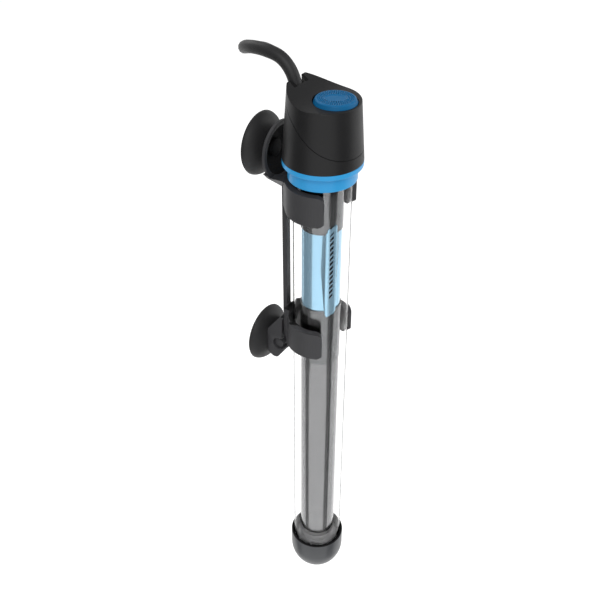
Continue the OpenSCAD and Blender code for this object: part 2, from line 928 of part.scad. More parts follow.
// A round cord swept along points, closed at both ends
module cord_along(path, d, n) {
    t = headings(path);
    s = sides(t, abs(t[0][0]) < 0.9 ? [1, 0, 0] : [0, 1, 0], 0, []);
    last = len(path) - 1;
    pts = [for (i = [0 : last], k = [0 : n - 1]) let (b = cross(t[i], s[i]))
        path[i] + d / 2 * (cos(360 * k / n) * s[i] + sin(360 * k / n) * b)];
    polyhedron(points = pts, faces = concat(
        [for (k = [1 : n - 2]) [0, k, k + 1]],
        [for (k = [1 : n - 2]) [last * n, last * n + k + 1, last * n + k]],
        [for (i = [0 : last - 1], k = [0 : n - 1])
            [i * n + k, (i + 1) * n + k, (i + 1) * n + (k + 1) % n]],
        [for (i = [0 : last - 1], k = [0 : n - 1])
            [i * n + k, (i + 1) * n + (k + 1) % n, i * n + (k + 1) % n]]));
}

// The free stretch from the head to the hank, from its outlet in the head
CORD_POINTS = [[0, 0, 0], [0, 2, 4.5], [0, 5, 11.5], [0, 10, 16], [0, 17.5, 17.5],
    [2, 26, 16.5], [8, 33.5, 13], [17, 37.5, 9.5], [27, 36.5, 6], [34, 32.5, 0],
    [37.5, 28.5, -9], [39, 26.5, -19.5], [42, 25.5, -30.5], [47.5, 27, -41.5],
    [54.5, 29.5, -53.5], [62.5, 33, -65.5], [70.5, 37, -77.5], [78.5, 41, -89.5],
    [85.5, 45.5, -102.5], [90, 49, -115]];
// The last stretch under the hank, from the hank's end: along its folds, across, up
TAIL_POINTS = [[0, 0, 0], [0, 0, -5], [0, 0, -18], [-2, 0.5, -29], [-8, 1, -40],
    [-14, 2, -51], [-17, 2.5, -61], [-17, 2.5, -67]];
HANK_TURN = 34;
HANK_FROM_OUTLET = [76, 36.5, -134.5];

outlet = [0, outlet_y, flat_z - outlet_down];
outer_r = fold_r + turn_step;
draw_in = fold_r - turn_step / 2 - 0.15;

function ease(a) = let (t = min(max(a, 0), 1)) t * t * (3 - 2 * t);

// One run of the hank, upwards or downwards, on one side, with its change of radius
// from ra to rb or of layer from wa to wb in the third that begins at lo
function run_pts(side, up, ra, rb, wa, wb, lo) = [for (i = [0 : 6])
    let (t = up ? i / 6 : 1 - i / 6, e = ease(3 * (t - lo)), s = sin(180 * t))
    [side * (ra + (rb - ra) * e - draw_in * s * s), wa + (wb - wa) * e,
    hank_run * (t - 1)]];
function fold_low(r, w) = [for (a = [30 : 30 : 150])
    [r * cos(a), w, -hank_run - r * sin(a)]];
function fold_high(r, w) = [for (a = [30 : 30 : 150])
    [-r * cos(a), w, r * sin(a)]];

// The hank's own frame: along its folds, across its layers, up
function hank_path(r, q, w) = concat(
    [[q, w, cord_d]], run_pts(1, false, q, q, w, w, 0), fold_low(q, w),
    run_pts(-1, true, q, r, w, w, 2 / 3), fold_high(r, w),
    run_pts(1, false, r, r, w, w, 0), fold_low(r, w),
    run_pts(-1, true, r, r, w, -w, 1 / 3), fold_high(r, -w),
    run_pts(1, false, r, r, -w, -w, 0), fold_low(r, -w),
    run_pts(-1, true, r, q, -w, -w, 0), fold_high(q, -w),
    run_pts(1, false, q, q, -w, -w, 0), [[q, -w, -hank_run - cord_d]]);
HANK = hank_path(fold_r, outer_r, layer_step / 2);

function hank_to_tube(p) = let (c = cos(HANK_TURN), s = sin(HANK_TURN))
    outlet + HANK_FROM_OUTLET + [c * p[0] - s * p[1], s * p[0] + c * p[1], p[2]];

module at_hank() {
    at_tube()
    translate(outlet + HANK_FROM_OUTLET)
    rotate([0, 0, HANK_TURN])
    children();
}

// Least gap between stretches of the hank that aren't neighbours along the cord
function hank_gap(p, d) = min([for (i = [0 : len(p) - 1], j = [0 : len(p) - 1])
    if (j > i + 3) norm(p[i] - p[j])]) - d;
echo(least_gap_of_hank = hank_gap(HANK, cord_d));

module cord() {
    start = hank_to_tube(HANK[0]);
    route = concat([for (p = CORD_POINTS) outlet + p], [start + [0, 0, 5], start]);
    color("black")
    at_tube()
    cord_along(route, cord_d, 10);
}

module cord_hank() {
    color("darkslategray")
    at_hank()
    cord_along(HANK, cord_d, 6);
}

tail_start = HANK[len(HANK) - 1];

module cord_tail() {
    color("black")
    at_hank()
    cord_along([for (p = TAIL_POINTS) tail_start + p], cord_d, 10);
}

module rounded_strip(w, t) {
    square([w - t, t], center = true);
    for (side = [-1, 1])
    translate([side * (w - t) / 2, 0])
    circle(r = t / 2, $fn = 48);
}

module hank_tie() {
    w = 2 * (turn_step * 1.5 + 0.95) + cord_d + 0.3;
    t = layer_step + cord_d + 0.3;
    color("gray")
    at_hank()
    translate([0, 0, -hank_run / 2 - tie_w / 2])
    linear_extrude(height = tie_w)
    difference() {
        square([w + 2 * tie_t, t + 2 * tie_t], center = true);
        square([w, t], center = true);
    }
}

plug_top = tail_start + TAIL_POINTS[len(TAIL_POINTS) - 1];

module plug_body() {
    relief = 12;
    color("black")
    at_hank()
    translate(plug_top)
    intersection() {
        translate([0, 0, -plug_len])
        linear_extrude(height = plug_len)
        rounded_strip(plug_w, plug_t);
        translate([0, plug_t, 0])
        rotate([90, 0, 0])
        linear_extrude(height = 2 * plug_t)
        polygon([[-plug_w / 2, -plug_len], [plug_w / 2, -plug_len],
            [plug_w / 2, -plug_len + 4], [plug_w / 2 - 5, -plug_len + 14],
            [7.5, -relief - 3], [6, -relief], [4.2, 0], [-4.2, 0], [-6, -relief],
            [-7.5, -relief - 3], [5 - plug_w / 2, -plug_len + 14],
            [-plug_w / 2, -plug_len + 4]]);
        translate([-plug_w, 0, 0])
        rotate([90, 0, 90])
        linear_extrude(height = 2 * plug_w)
        polygon([[-plug_t / 2, -plug_len], [plug_t / 2, -plug_len],
            [plug_t / 2, -relief - 6], [4.2, 0], [-4.2, 0],
            [-plug_t / 2, -relief - 6]]);
    }
}

module plug_pins() {
    color("silver")
    at_hank()
    translate(plug_top + [0, 0, -plug_len - plug_pin_len])
    for (side = [-1, 1])
    translate([side * plug_pin_pitch / 2, 0, 0])
    cylinder(r = plug_pin_r, h = plug_pin_len, $fn = 32);
}

bracket();
upper_cup();
lower_cup();
lower_cup_holder();
glass_tube();
end_cap();
collar();
head_base();
head_cover();
dial();
dial_spindle();
dial_seal();
tube_bung();
cord_gland();
thermostat_carrier();
thermostat_sleeve();
bimetal_strip();
contact_blade();
contacts();
pilot_lamp();
lead_wires();
element_holder();
element_sheath();
element_foot();
ceramic_core();
heating_winding();
cord();
cord_hank();
hank_tie();
cord_tail();
plug_body();
plug_pins();
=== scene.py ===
import math

import bmesh
import bpy
import numpy as np
from bpy.props import FloatProperty, FloatVectorProperty, PointerProperty
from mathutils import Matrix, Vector


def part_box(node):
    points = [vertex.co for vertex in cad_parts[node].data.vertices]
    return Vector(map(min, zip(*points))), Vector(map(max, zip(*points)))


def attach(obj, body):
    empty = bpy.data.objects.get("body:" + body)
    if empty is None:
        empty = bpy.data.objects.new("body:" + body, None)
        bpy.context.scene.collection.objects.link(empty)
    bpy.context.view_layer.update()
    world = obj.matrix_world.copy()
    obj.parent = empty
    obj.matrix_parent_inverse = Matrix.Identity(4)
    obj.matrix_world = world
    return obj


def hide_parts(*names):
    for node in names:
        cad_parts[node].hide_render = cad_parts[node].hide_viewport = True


bl_info = {
    "name": "Aquarium heater",
    "version": (1, 0, 0),
    "blender": (4, 5, 0),
    "location": "View3D > Sidebar > Heater",
    "description": "Dresses a submersible heater with its bracket, cups and cord",
    "category": "Object",
}

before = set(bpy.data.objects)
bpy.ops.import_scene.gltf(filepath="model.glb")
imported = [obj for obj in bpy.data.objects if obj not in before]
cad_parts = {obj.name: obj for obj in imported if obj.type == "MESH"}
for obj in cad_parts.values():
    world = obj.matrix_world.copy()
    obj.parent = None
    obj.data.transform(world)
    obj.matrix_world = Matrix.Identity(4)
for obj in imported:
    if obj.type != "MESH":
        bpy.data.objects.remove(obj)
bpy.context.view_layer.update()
MM = 0.001


def mid(node):
    """The middle of a node's box."""
    lo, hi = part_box(node)
    return [(a + b) / 2 for a, b in zip(lo, hi)]


TUBE_Y = mid("glass_tube")[1]                   # the tube's axis stands at x = 0
CAP_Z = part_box("end_cap")[1][2]                 # the end cap's rim
FLANGE_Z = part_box("collar")[1][2]               # the collar's flange
CUP_Z = -CAP_Z / MM                             # the upper cup over the cap's rim, mm
FLANGE_UP = (FLANGE_Z - CAP_Z) / MM             # the flange over the cap's rim, mm
TUBE_AXIS = np.array([0.0, TUBE_Y, 0.0])
FOOT = np.array([0.0, TUBE_Y, CAP_Z])           # where the cap's rim meets that axis
SHARP = 32.0                                    # edges sharper than this stay crisp
MATERIALS = {}                                  # the finishes by their short names


# ---------------------------------------------------------------- colour and nodes

def paint(code):
    """An sRGB hex colour as linear red, green and blue, and an alpha of 1."""
    parts = [int(code[i:i + 2], 16) / 255 for i in (1, 3, 5)]
    return tuple(c / 12.92 if c <= 0.04045 else ((c + 0.055) / 1.055) ** 2.4
                 for c in parts) + (1.0,)


def add(tree, kind, settings=None, **sockets):
    """Adds a shader node of a kind: settings are its attributes; sockets are values, or
    outputs to link. A socket is named by its label with spaces as _, or by i and its
    number."""
    node = tree.nodes.new("ShaderNode" + kind)
    for key, value in (settings or {}).items():
        setattr(node, key, value)
    for key, value in sockets.items():
        numbered = key[0] == "i" and key[1:].isdigit()
        socket = node.inputs[int(key[1:]) if numbered else key.replace("_", " ")]
        if isinstance(value, bpy.types.NodeSocket):
            tree.links.new(value, socket)
        else:
            socket.default_value = value
    return node


def new_material(name):
    """An empty node material with its output."""
    mat = bpy.data.materials.new(name)
    mat.use_nodes = True
    mat.node_tree.nodes.clear()
    out = add(mat.node_tree, "OutputMaterial")
    return mat, mat.node_tree, out


def surface(name, colour, rough, grain=0.2, depth=0.02, vary=0.0,
            rough_vary=0.0, coarse=8.0, gloss=0.5, **sockets):
    """A Principled surface: base colour (hex code or colour property) with a faint cloudy
    variation, roughness that varies with it, and a grain bump of the given size and depth
    in millimetres."""
    colour = paint(colour) if isinstance(colour, str) else tuple(colour) + (1.0,)
    mat, tree, out = new_material(name)
    coord = add(tree, "TexCoord").outputs["Object"]
    shader = add(tree, "BsdfPrincipled", Base_Color=colour, Roughness=rough,
                 Specular_IOR_Level=gloss, **sockets)
    if vary or rough_vary:
        cloud = add(tree, "TexNoise", Vector=coord, Scale=1000 / coarse,
                    Detail=3.0, Roughness=0.6).outputs["Fac"]
    if vary:
        dark = tuple(c * (1 - vary) for c in colour[:3]) + (1.0,)
        light = tuple(min(c * (1 + vary) + 0.01 * vary, 1) for c in colour[:3]) + (1.0,)
        mix = add(tree, "Mix", {"data_type": "RGBA"}, i0=cloud, i6=dark, i7=light)
        tree.links.new(mix.outputs[2], shader.inputs["Base Color"])
    if rough_vary:
        span = add(tree, "MapRange", Value=cloud, i1=0.3, i2=0.7,
                   i3=rough - rough_vary, i4=rough + rough_vary)
        tree.links.new(span.outputs[0], shader.inputs["Roughness"])
    if depth:
        noise = add(tree, "TexNoise", Vector=coord, Scale=1000 / grain,
                    Detail=2.0, Roughness=0.5).outputs["Fac"]
        relief = add(tree, "Bump", Height=noise, Distance=depth * MM,
                     Strength=1.0)
        tree.links.new(relief.outputs[0], shader.inputs["Normal"])
    tree.links.new(shader.outputs[0], out.inputs[0])
    return mat


# ---------------------------------------------------------------- meshes

def smooth(mesh, sharp=SHARP):
    """Smooth faces, with edges sharper than the angle in degrees kept crisp."""
    mesh.polygons.foreach_set("use_smooth", [True] * len(mesh.polygons))
    mesh.set_sharp_from_angle(angle=math.radians(sharp))


def finish_mesh(name, mesh, sharp=SHARP):
    """Smooths a mesh and returns the object that shows it."""
    smooth(mesh, sharp)
    obj = bpy.data.objects.new(name, mesh)
    bpy.context.scene.collection.objects.link(obj)
    return obj


def grid(name, points, wrap=True, sharp=SHARP):
    """A surface through an array of points, rows by columns by 3. Columns close on
    themselves where wrap is true; rows that shrink to a point are closed poles."""
    rows, cols = points.shape[:2]
    index = np.arange(rows * cols).reshape(rows, cols)
    right = np.roll(index, -1, axis=1) if wrap else index[:, 1:]
    left = index if wrap else index[:, :-1]
    quads = np.stack([left[:-1], right[:-1], right[1:], left[1:]], -1).reshape(-1, 4)
    mesh = bpy.data.meshes.new(name)
    mesh.from_pydata(points.reshape(-1, 3).tolist(), [], quads.tolist())
    weld(mesh, outward=wrap)
    return finish_mesh(name, mesh, sharp)


def weld(mesh, distance=1e-6, outward=False):
    """Merges points that lie on each other. If asked, turns the faces of a closed surface
    round where the volume that they enclose comes out negative, so that they face out."""
    work = bmesh.new()
    work.from_mesh(mesh)
    bmesh.ops.remove_doubles(work, verts=work.verts, dist=distance)
    bmesh.ops.dissolve_degenerate(work, edges=work.edges, dist=distance)
    if outward and work.calc_volume(signed=True) < 0:
        bmesh.ops.reverse_faces(work, faces=work.faces)
    work.to_mesh(mesh)
    work.free()


def rounded(corners, steps=5):
    """A profile through corners (a, b, radius): each corner with a radius is replaced by
    a curve of that size, the quadratic arc between points one radius before and after."""
    out = []
    count = len(corners)
    for i, (a, b, radius) in enumerate(corners):
        here = np.array([a, b], float)
        if not radius or i in (0, count - 1):
            out.append(here[None])
            continue
        before = np.array(corners[i - 1][:2], float) - here
        after = np.array(corners[i + 1][:2], float) - here
        reach = min(radius, 0.49 * np.linalg.norm(before), 0.49 * np.linalg.norm(after))
        start = here + before / np.linalg.norm(before) * reach
        end = here + after / np.linalg.norm(after) * reach
        t = np.linspace(0, 1, steps + 1)[:, None]
        out.append(start * (1 - t) ** 2 + 2 * here * t * (1 - t) + end * t ** 2)
    return np.concatenate(out)


def turned(name, profile, centre, wall=False, segments=128):
    """A profile of (radius, height) in millimetres turned about a vertical axis through
    centre, or, with wall true, about an axis that points at the wall (+Y)."""
    profile = np.asarray(profile, float) * MM
    a = np.linspace(0, 2 * math.pi, segments, endpoint=False)
    r, h = profile[:, :1], profile[:, 1:]
    ring = np.ones((1, segments))
    if wall:
        pts = np.stack([r * np.sin(a), h * ring, r * np.cos(a)], -1)
    else:
        pts = np.stack([r * np.cos(a), r * np.sin(a), h * ring], -1)
    return grid(name, pts + np.asarray(centre))


def bevelled(obj, size, segments=2, angle=SHARP + 8):
    """Rounds the edges sharper than the angle by size millimetres."""
    mod = obj.modifiers.new("edge rounding", "BEVEL")
    mod.width = size * MM
    mod.segments = segments
    mod.limit_method = "ANGLE"
    mod.angle_limit = math.radians(angle)
    mod.harden_normals = False
    mod.miter_outer = "MITER_ARC"
    return obj


def apply_all(obj):
    """Bakes the object's modifiers into its mesh."""
    graph = bpy.context.evaluated_depsgraph_get()
    mesh = bpy.data.meshes.new_from_object(obj.evaluated_get(graph))
    obj.modifiers.clear()
    obj.data = mesh
    return obj


def cut(obj, tool, how):
    """Boolean of obj with a closed tool mesh; the tool is removed."""
    mod = obj.modifiers.new("cut", "BOOLEAN")
    mod.operation = how
    mod.object = tool
    mod.solver = "EXACT"
    apply_all(obj)
    bpy.data.objects.remove(tool)
    return obj


def join(objects, name):
    """Joins meshes into the first object."""
    work = bmesh.new()
    for obj in objects:
        work.from_mesh(obj.data)
    work.to_mesh(objects[0].data)
    work.free()
    for obj in objects[1:]:
        bpy.data.objects.remove(obj)
    objects[0].name = objects[0].data.name = name
    return objects[0]


def mounted(obj, body, slot, finish, *nodes):
    """Puts a finish on a piece, lets it ride on its body and stand for its nodes."""
    obj.data.materials.clear()
    obj.data.materials.append(MATERIALS[finish])
    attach(obj, body)
    if nodes:
        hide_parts(*nodes)
    return obj


def from_tube(items, key):
    """Where a mesh's points or the middles of its faces are, as rows of x, y and z in
    millimetres from the tube's axis and the end cap's rim."""
    flat = np.empty(3 * len(items), np.float32)
    items.foreach_get(key, flat)
    return (flat.reshape(-1, 3) - FOOT) / MM


def put_back(mesh, points):
    """Moves a mesh's points to such rows."""
    mesh.vertices.foreach_set("co", (points * MM + FOOT).ravel())
    mesh.update()


def patch(obj, finish, chosen):
    """Gives a second finish to the faces whose middles pass a test on the three columns
    that from_tube gives."""
    obj.data.materials.append(MATERIALS[finish])
    faces = obj.data.polygons
    picked = chosen(*from_tube(faces, "center").T)
    faces.foreach_set("material_index", picked.astype(np.int32))


def edged_copy(name, node, body, slot, finish, size=0, sharp=SHARP, segments=2):
    """A welded copy of a node's mesh with its edges rounded by size millimetres."""
    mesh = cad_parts[node].data.copy()
    mesh.name = name
    weld(mesh, distance=2e-6)
    work = finish_mesh(name, mesh, sharp)
    if size:
        bevelled(work, size, segments, sharp + 8)
    return mounted(work, body, slot, finish, node)


def dress(node, finish):
    """Gives a node that stays its finish."""
    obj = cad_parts[node]
    obj.data.materials.clear()
    obj.data.materials.append(MATERIALS[finish])


# ---------------------------------------------------------------- what a user may change

def length_property(name, description, default, low, high):
    """A length that the user may change, given in millimetres and kept in metres."""
    return FloatProperty(name=name, description=description, unit="LENGTH",
                         default=default * MM, min=low * MM, max=high * MM)


class HeaterSizes(bpy.types.PropertyGroup):
    """Sizes of the dressed heater."""
    cord_diameter: length_property(
        "Cord diameter", "Outside of the mains cord", 5.4, 3, 8)
    edge: length_property(
        "Edge rounding", "Rounding of the bracket's edges", 0.4, 0.1, 1)
    front_edge: length_property(
        "Head edge, front", "Rounding of the head's top edge in front", 0.6, 0.3, 1)
    rear_edge: length_property(
        "Head edge, rear", "Rounding of the head's top edge at the rear", 0.15, 0.1, 2)
    parting: length_property(
        "Parting line", "Gap between the head's two shells", 0.28, 0.02, 0.5)
    dimple_pitch: length_property(
        "Dimple pitch", "Distance between the dimples on the dial", 0.9, 0.4, 2)
    dimple_depth: length_property(
        "Dimple depth", "Depth of the dimples on the dial", 0.8, 0, 1)
    tie_bulge: length_property(
        "Tie bulge", "How far the tie's middle stands out from its edges", 0.4, 0, 1)


def colour_property(name, description, code):
    """A colour that the user may change, with an sRGB hex default."""
    return FloatVectorProperty(name=name, description=description, subtype="COLOR",
                               size=3, min=0.0, max=1.0, default=paint(code)[:3])


class HeaterColours(bpy.types.PropertyGroup):
    """Colours of the heater's finishes."""
    head: colour_property("Head", "Satin ABS of the head's shells", "#1B1B1C")
    bracket: colour_property("Bracket", "Moulded nylon of the bracket", "#39393B")
    rubber: colour_property("Rubber", "Soft rubber of the suction cups", "#1E1E1F")
    cord: colour_property("Cord", "Rubber sheath of the cord", "#242425")
    collar: colour_property("Collar", "Blue ABS of the collar", "#2B96D1")
    dial: colour_property("Dial", "Darker blue ABS of the dial", "#0B5C8B")
    sleeve: colour_property("Sleeve", "Pale blue pearl lacquer of the sleeve", "#A6D0E8")
    carrier: colour_property("Carrier", "Dark chrome plate of the thermostat's carrier",
                             "#747576")
    lamp: colour_property("Lamp", "Orange glow tube of the pilot lamp", "#D9803A")


def settings():
    """The scene's sizes and colours of the heater."""
    return bpy.context.scene.heater_sizes, bpy.context.scene.heater_colours


def rod_steel():
    """Drawn stainless steel sheath, greyed by heat: fine lines along the tube from the
    drawing die blur its reflections a little sideways, so light and dark stand on it in
    upright streaks."""
    mat, tree, out = new_material("drawn_stainless_steel")
    coord = add(tree, "TexCoord").outputs["Object"]
    lines = add(tree, "Mapping", Vector=coord, Location=(0.0, -TUBE_Y, 0.0),
                Scale=(1.0, 1.0, 0.02)).outputs[0]
    scratch = add(tree, "TexNoise", Vector=lines, Scale=1000 / 0.5,
                  Detail=2.0).outputs["Fac"]
    relief = add(tree, "Bump", Height=scratch, Distance=0.0015 * MM, Strength=1.0)
    shader = add(tree, "BsdfPrincipled", Base_Color=paint("#858586"),
                 Metallic=1.0, Roughness=0.13, Normal=relief.outputs[0])
    tree.links.new(shader.outputs[0], out.inputs[0])
    return mat


def clear_glass():
    """Thin clear tube: what stands behind it shows where it is, its polished skin mirrors
    the room, and the longer way along its wall greys its edges."""
    mat, tree, out = new_material("borosilicate_glass")
    shader = add(tree, "BsdfPrincipled", Base_Color=(1.0, 1.0, 1.0, 1.0),
                 Roughness=0.0, IOR=1.03, Transmission_Weight=1.0, Coat_Weight=0.3,
                 Coat_Roughness=0.02, Coat_IOR=1.4)
    inside = add(tree, "VolumeAbsorption", Color=(0.55, 0.57, 0.58, 1.0),
                 Density=24.0)
    tree.links.new(shader.outputs[0], out.inputs[0])
    tree.links.new(inside.outputs[0], out.inputs["Volume"])
    return mat


def make_materials():
    """Makes the finishes once and keeps them under short names."""
    colours = settings()[1]
    MATERIALS.update(
        # moulded satin ABS: dull broad highlights with a very fine spark-eroded grain
        head=surface("satin_abs", colours.head, 0.42, grain=0.35, depth=0.012,
                     vary=0.06, rough_vary=0.04, coarse=14.0, gloss=0.25),
        # glass-filled nylon: a little duller and less even than the head
        bracket=surface("moulded_nylon", colours.bracket, 0.5, grain=0.45,
                        depth=0.016, vary=0.08, rough_vary=0.05, coarse=10.0,
                        gloss=0.25),
        # soft rubber: a bloom on its surface makes the highlights wide and faint
        cup=surface("soft_rubber", colours.rubber, 0.55, grain=0.6, depth=0.01,
                    vary=0.1, rough_vary=0.06, coarse=9.0, gloss=0.3,
                    Sheen_Weight=0.08, Sheen_Roughness=0.5),
        # moulded rubber cap: polished in its mould, so it mirrors the light softly
        cap=surface("polished_rubber", "#3A3C3F", 0.34, grain=0.5, depth=0.006,
                    rough_vary=0.04, coarse=8.0, gloss=0.5),
        # small seals of the same rubber, cut and not polished
        seal=surface("seal_rubber", "#1B1B1C", 0.6, grain=0.3, depth=0.01,
                     vary=0.08, coarse=4.0, gloss=0.3),
        # extruded rubber sheath: smooth and matt, faintly uneven along its length
        cord=surface("extruded_rubber", colours.cord, 0.5, grain=0.5, depth=0.012,
                     vary=0.1, rough_vary=0.05, coarse=12.0, gloss=0.3),
        # blue ABS of the collar: glossier than the head, even in colour
        collar=surface("glossy_blue_abs", colours.collar, 0.32, grain=0.4,
                       depth=0.006, vary=0.03, rough_vary=0.03, coarse=9.0,
                       gloss=0.35),
        # the dial's ABS is dyed darker and has a duller face
        dial=surface("satin_blue_abs", colours.dial, 0.42, grain=0.3, depth=0.006,
                     vary=0.04, rough_vary=0.03, coarse=5.0, gloss=0.15),
        # pale blue polypropylene under pearl lacquer: its flakes mirror the room as broad
        # upright bands
        sleeve=surface("pearl_lacquer", colours.sleeve, 0.2, depth=0.0,
                       vary=0.02, coarse=7.0, Metallic=0.75),
        # plastic under dark chrome plate: nearly a mirror, so the room stands on it in
        # upright bands
        carrier=surface("dark_chrome_plate", colours.carrier, 0.14, depth=0.0,
                        vary=0.04, coarse=6.0, Metallic=1.0),
        # cast grey silicone of the element's foot
        silicone=surface("grey_silicone", "#9C9C9D", 0.4, grain=0.5, depth=0.01,
                         vary=0.03, rough_vary=0.05, coarse=6.0, gloss=0.4),
        # painted shade: the same blue made darker in the deeper part of the dial's dimples
        hollow=surface("shaded_blue_abs", "#04182A", 0.6, depth=0.0, vary=0.03,
                       coarse=5.0, gloss=0.1),
        # painted shade: near-black and dull, so that nothing shines there, on faces where
        # light
        # hardly reaches: the dish and the cups' knobs in it, the lower clip's bore, the
        # slots, the cord's notch and the cap's rim
        shade=surface("painted_shade_black", "#0A0A0B", 0.7, grain=0.3, depth=0.01,
                      gloss=0.15),
        # white acetal: smooth, faintly waxy
        white=surface("white_acetal", "#E4E2DC", 0.35, grain=0.4, depth=0.006,
                      vary=0.03, rough_vary=0.03, coarse=5.0, gloss=0.4),
        # glazed white steatite core
        ceramic=surface("steatite", "#DEDAD0", 0.45, grain=0.5, depth=0.015,
                        vary=0.05, coarse=5.0),
        # insulation of the lead wires, brown silicone
        wire=surface("silicone_insulation", "#7A4A32", 0.5, grain=0.3, depth=0.008,
                     vary=0.08, coarse=4.0),
        # glow tube of the pilot lamp
        lamp=surface("lamp_glass", colours.lamp, 0.12, depth=0.0, rough_vary=0.02,
                     coarse=3.0, Coat_Weight=0.6),
        # spring brass of the bimetal strip and the contact blade, dulled by heat
        brass=surface("spring_brass", "#B08D4F", 0.32, grain=0.3, depth=0.004,
                      vary=0.1, rough_vary=0.08, coarse=4.0, Metallic=1.0),
        # nickel plate on the plug's pins
        nickel=surface("nickel_plate", "#C9C6BF", 0.18, grain=0.4, depth=0.002,
                       vary=0.04, rough_vary=0.05, coarse=5.0, Metallic=1.0),
        # oxidised resistance wire
        winding=surface("oxidised_nichrome", "#5E5650", 0.4, grain=0.2, depth=0.004,
                        vary=0.15, rough_vary=0.08, coarse=3.0, Metallic=1.0),
        glass=clear_glass(),
        sheath=rod_steel(),
    )


# ---------------------------------------------------------------- shapes of the pieces

HEAD_H = 25.3                   # the head's flat top over the flange
FLANGE_R = 16.85                # the collar's flange and the head's foot on it
SOCKET_R = 12.55                # what takes the glass: collar, head and cap
DRAFT = 1.8                     # how much the head narrows up to its flat top
REAR_AT, REAR_UP, REAR_LEAN = 13.1, 6, math.radians(11.6)   # the plane at the rear
CORNER_POWER = 200.0            # the higher, the sharper the corner of drum and plane
RAMP_R, RAMP_START = 22.2, -2.0             # the roof's hollow and where it begins
# the parting curve's four points as (y, z) from the flange's centre
PARTING = np.array([[-17, 4.75], [0, 9.05], [5.05, 23.3], [22.75, 32.3]])
OUTLET = np.array([0.0, 10.5, 21.8])        # the cord's outlet from the flange's centre
LEAN = math.radians(23)                     # the cord leans back by this in the head
# the cord's notch from the outlet, along the lean: front, floor, half its rear width
NOTCH_FRONT, NOTCH_FLOOR, NOTCH_HALF = -2.8, -0.6, 4.9
HEAD_FOOT = np.array([0.0, TUBE_Y, FLANGE_Z])
DIAL_FRONT = 5.3                # the dial's axis in front of the tube's
DIAL_H, DIAL_SUNK = 2.35, 0.75              # its height, and how deep its foot lies
DIMPLED_R = 7.2                 # the field of dimples on its face
OVAL_HALF, OVAL_TURN = (4.3, 3.1), math.radians(-56)        # the smooth oval on it
GLASS_R, GLASS_WALL = 12.5, 0.45            # the tube's outside and its wall
DOME_Z = -234.1                 # centre of the glass's round end
CAP_R, CAP_DOME = 13.95, 15     # the end cap's radius and the depth of its round end
SHELL_R, SHEATH_R = 9.2, 8.9    # carrier and holder, and the element's sheath
RAIL_TURN = math.radians(-121)              # the way that the sleeve's rail faces
RAIL_OUT = np.array([math.cos(RAIL_TURN), math.sin(RAIL_TURN)])
RAIL_SIDE = np.array([-RAIL_OUT[1], RAIL_OUT[0]])
DISH_REAR = 24.6                # the dish's side towards the wall
CLIPS = (131.5, 200.6)          # lower edges of the two clips over the end cap's rim
CLIP_H, CLIP_R, CLIP_OUT = 14.5, 14.6, 15.7         # height, bare and moulded radius
# the strip between the clips and its shoulders on them, as (y, z) from the tube's axis
STRIP = [[16.4, 141], [19.7, 141], [19.7, 209], [16.4, 209], [16.4, 200.7], [17.4, 200.7],
         [17.4, 145.9], [16.4, 145.9]]


def along_cord(points):
    """Points in the frame of the cord's outlet, across (x), back (v) and along the cord
    (w), in millimetres, as places in the row frame in metres: the frame is turned about X
    by the cord's lean and stands at the outlet."""
    x, v, w = np.moveaxis(np.asarray(points, float), -1, 0)
    y = v * math.cos(LEAN) + w * math.sin(LEAN)
    z = w * math.cos(LEAN) - v * math.sin(LEAN)
    return HEAD_FOOT + (OUTLET + np.stack([x, y, z], -1)) * MM


def prism(name, outline, places):
    """A closed prism: an outline of n corners repeated at the places that the function
    gives for either end, with flat ends."""
    ends = np.concatenate([places(outline, 0), places(outline, 1)])
    n = len(outline)
    k = np.arange(n)
    walls = np.stack([k, (k + 1) % n, (k + 1) % n + n, k + n], -1).tolist()
    mesh = bpy.data.meshes.new(name)
    mesh.from_pydata(ends.tolist(), [], walls + [k[::-1].tolist(), (k + n).tolist()])
    weld(mesh, outward=True)
    return finish_mesh(name, mesh)


def head_side(z, cos_back):
    """The head's radius at height z over the flange: a drum that narrows upwards, cut by a
    plane at the rear that leans forward. The two are joined by a p-norm of their radii,
    which rounds the corner between them."""
    drum = FLANGE_R - DRAFT * z / HEAD_H
    plane = REAR_AT - (z - HEAD_H - REAR_UP) * math.tan(REAR_LEAN)
    p = CORNER_POWER
    share = np.maximum(cos_back, 0.0) / plane
    return (drum ** -p + share ** p) ** (-1 / p)


def head_roof(y):
    """Height of the head's top over the flange at y behind the axis: level in front, then
    a hollow quarter circle that rises to the rear."""
    back = np.minimum(np.maximum(y - RAMP_START, 0.0), RAMP_R - 0.01)
    return HEAD_H + RAMP_R - np.sqrt(RAMP_R ** 2 - back ** 2)


def arc(before, corner, after, t):
    """The quadratic curve from before to after that is pulled to corner."""
    return before * (1 - t) ** 2 + 2 * corner * t * (1 - t) + after * t ** 2


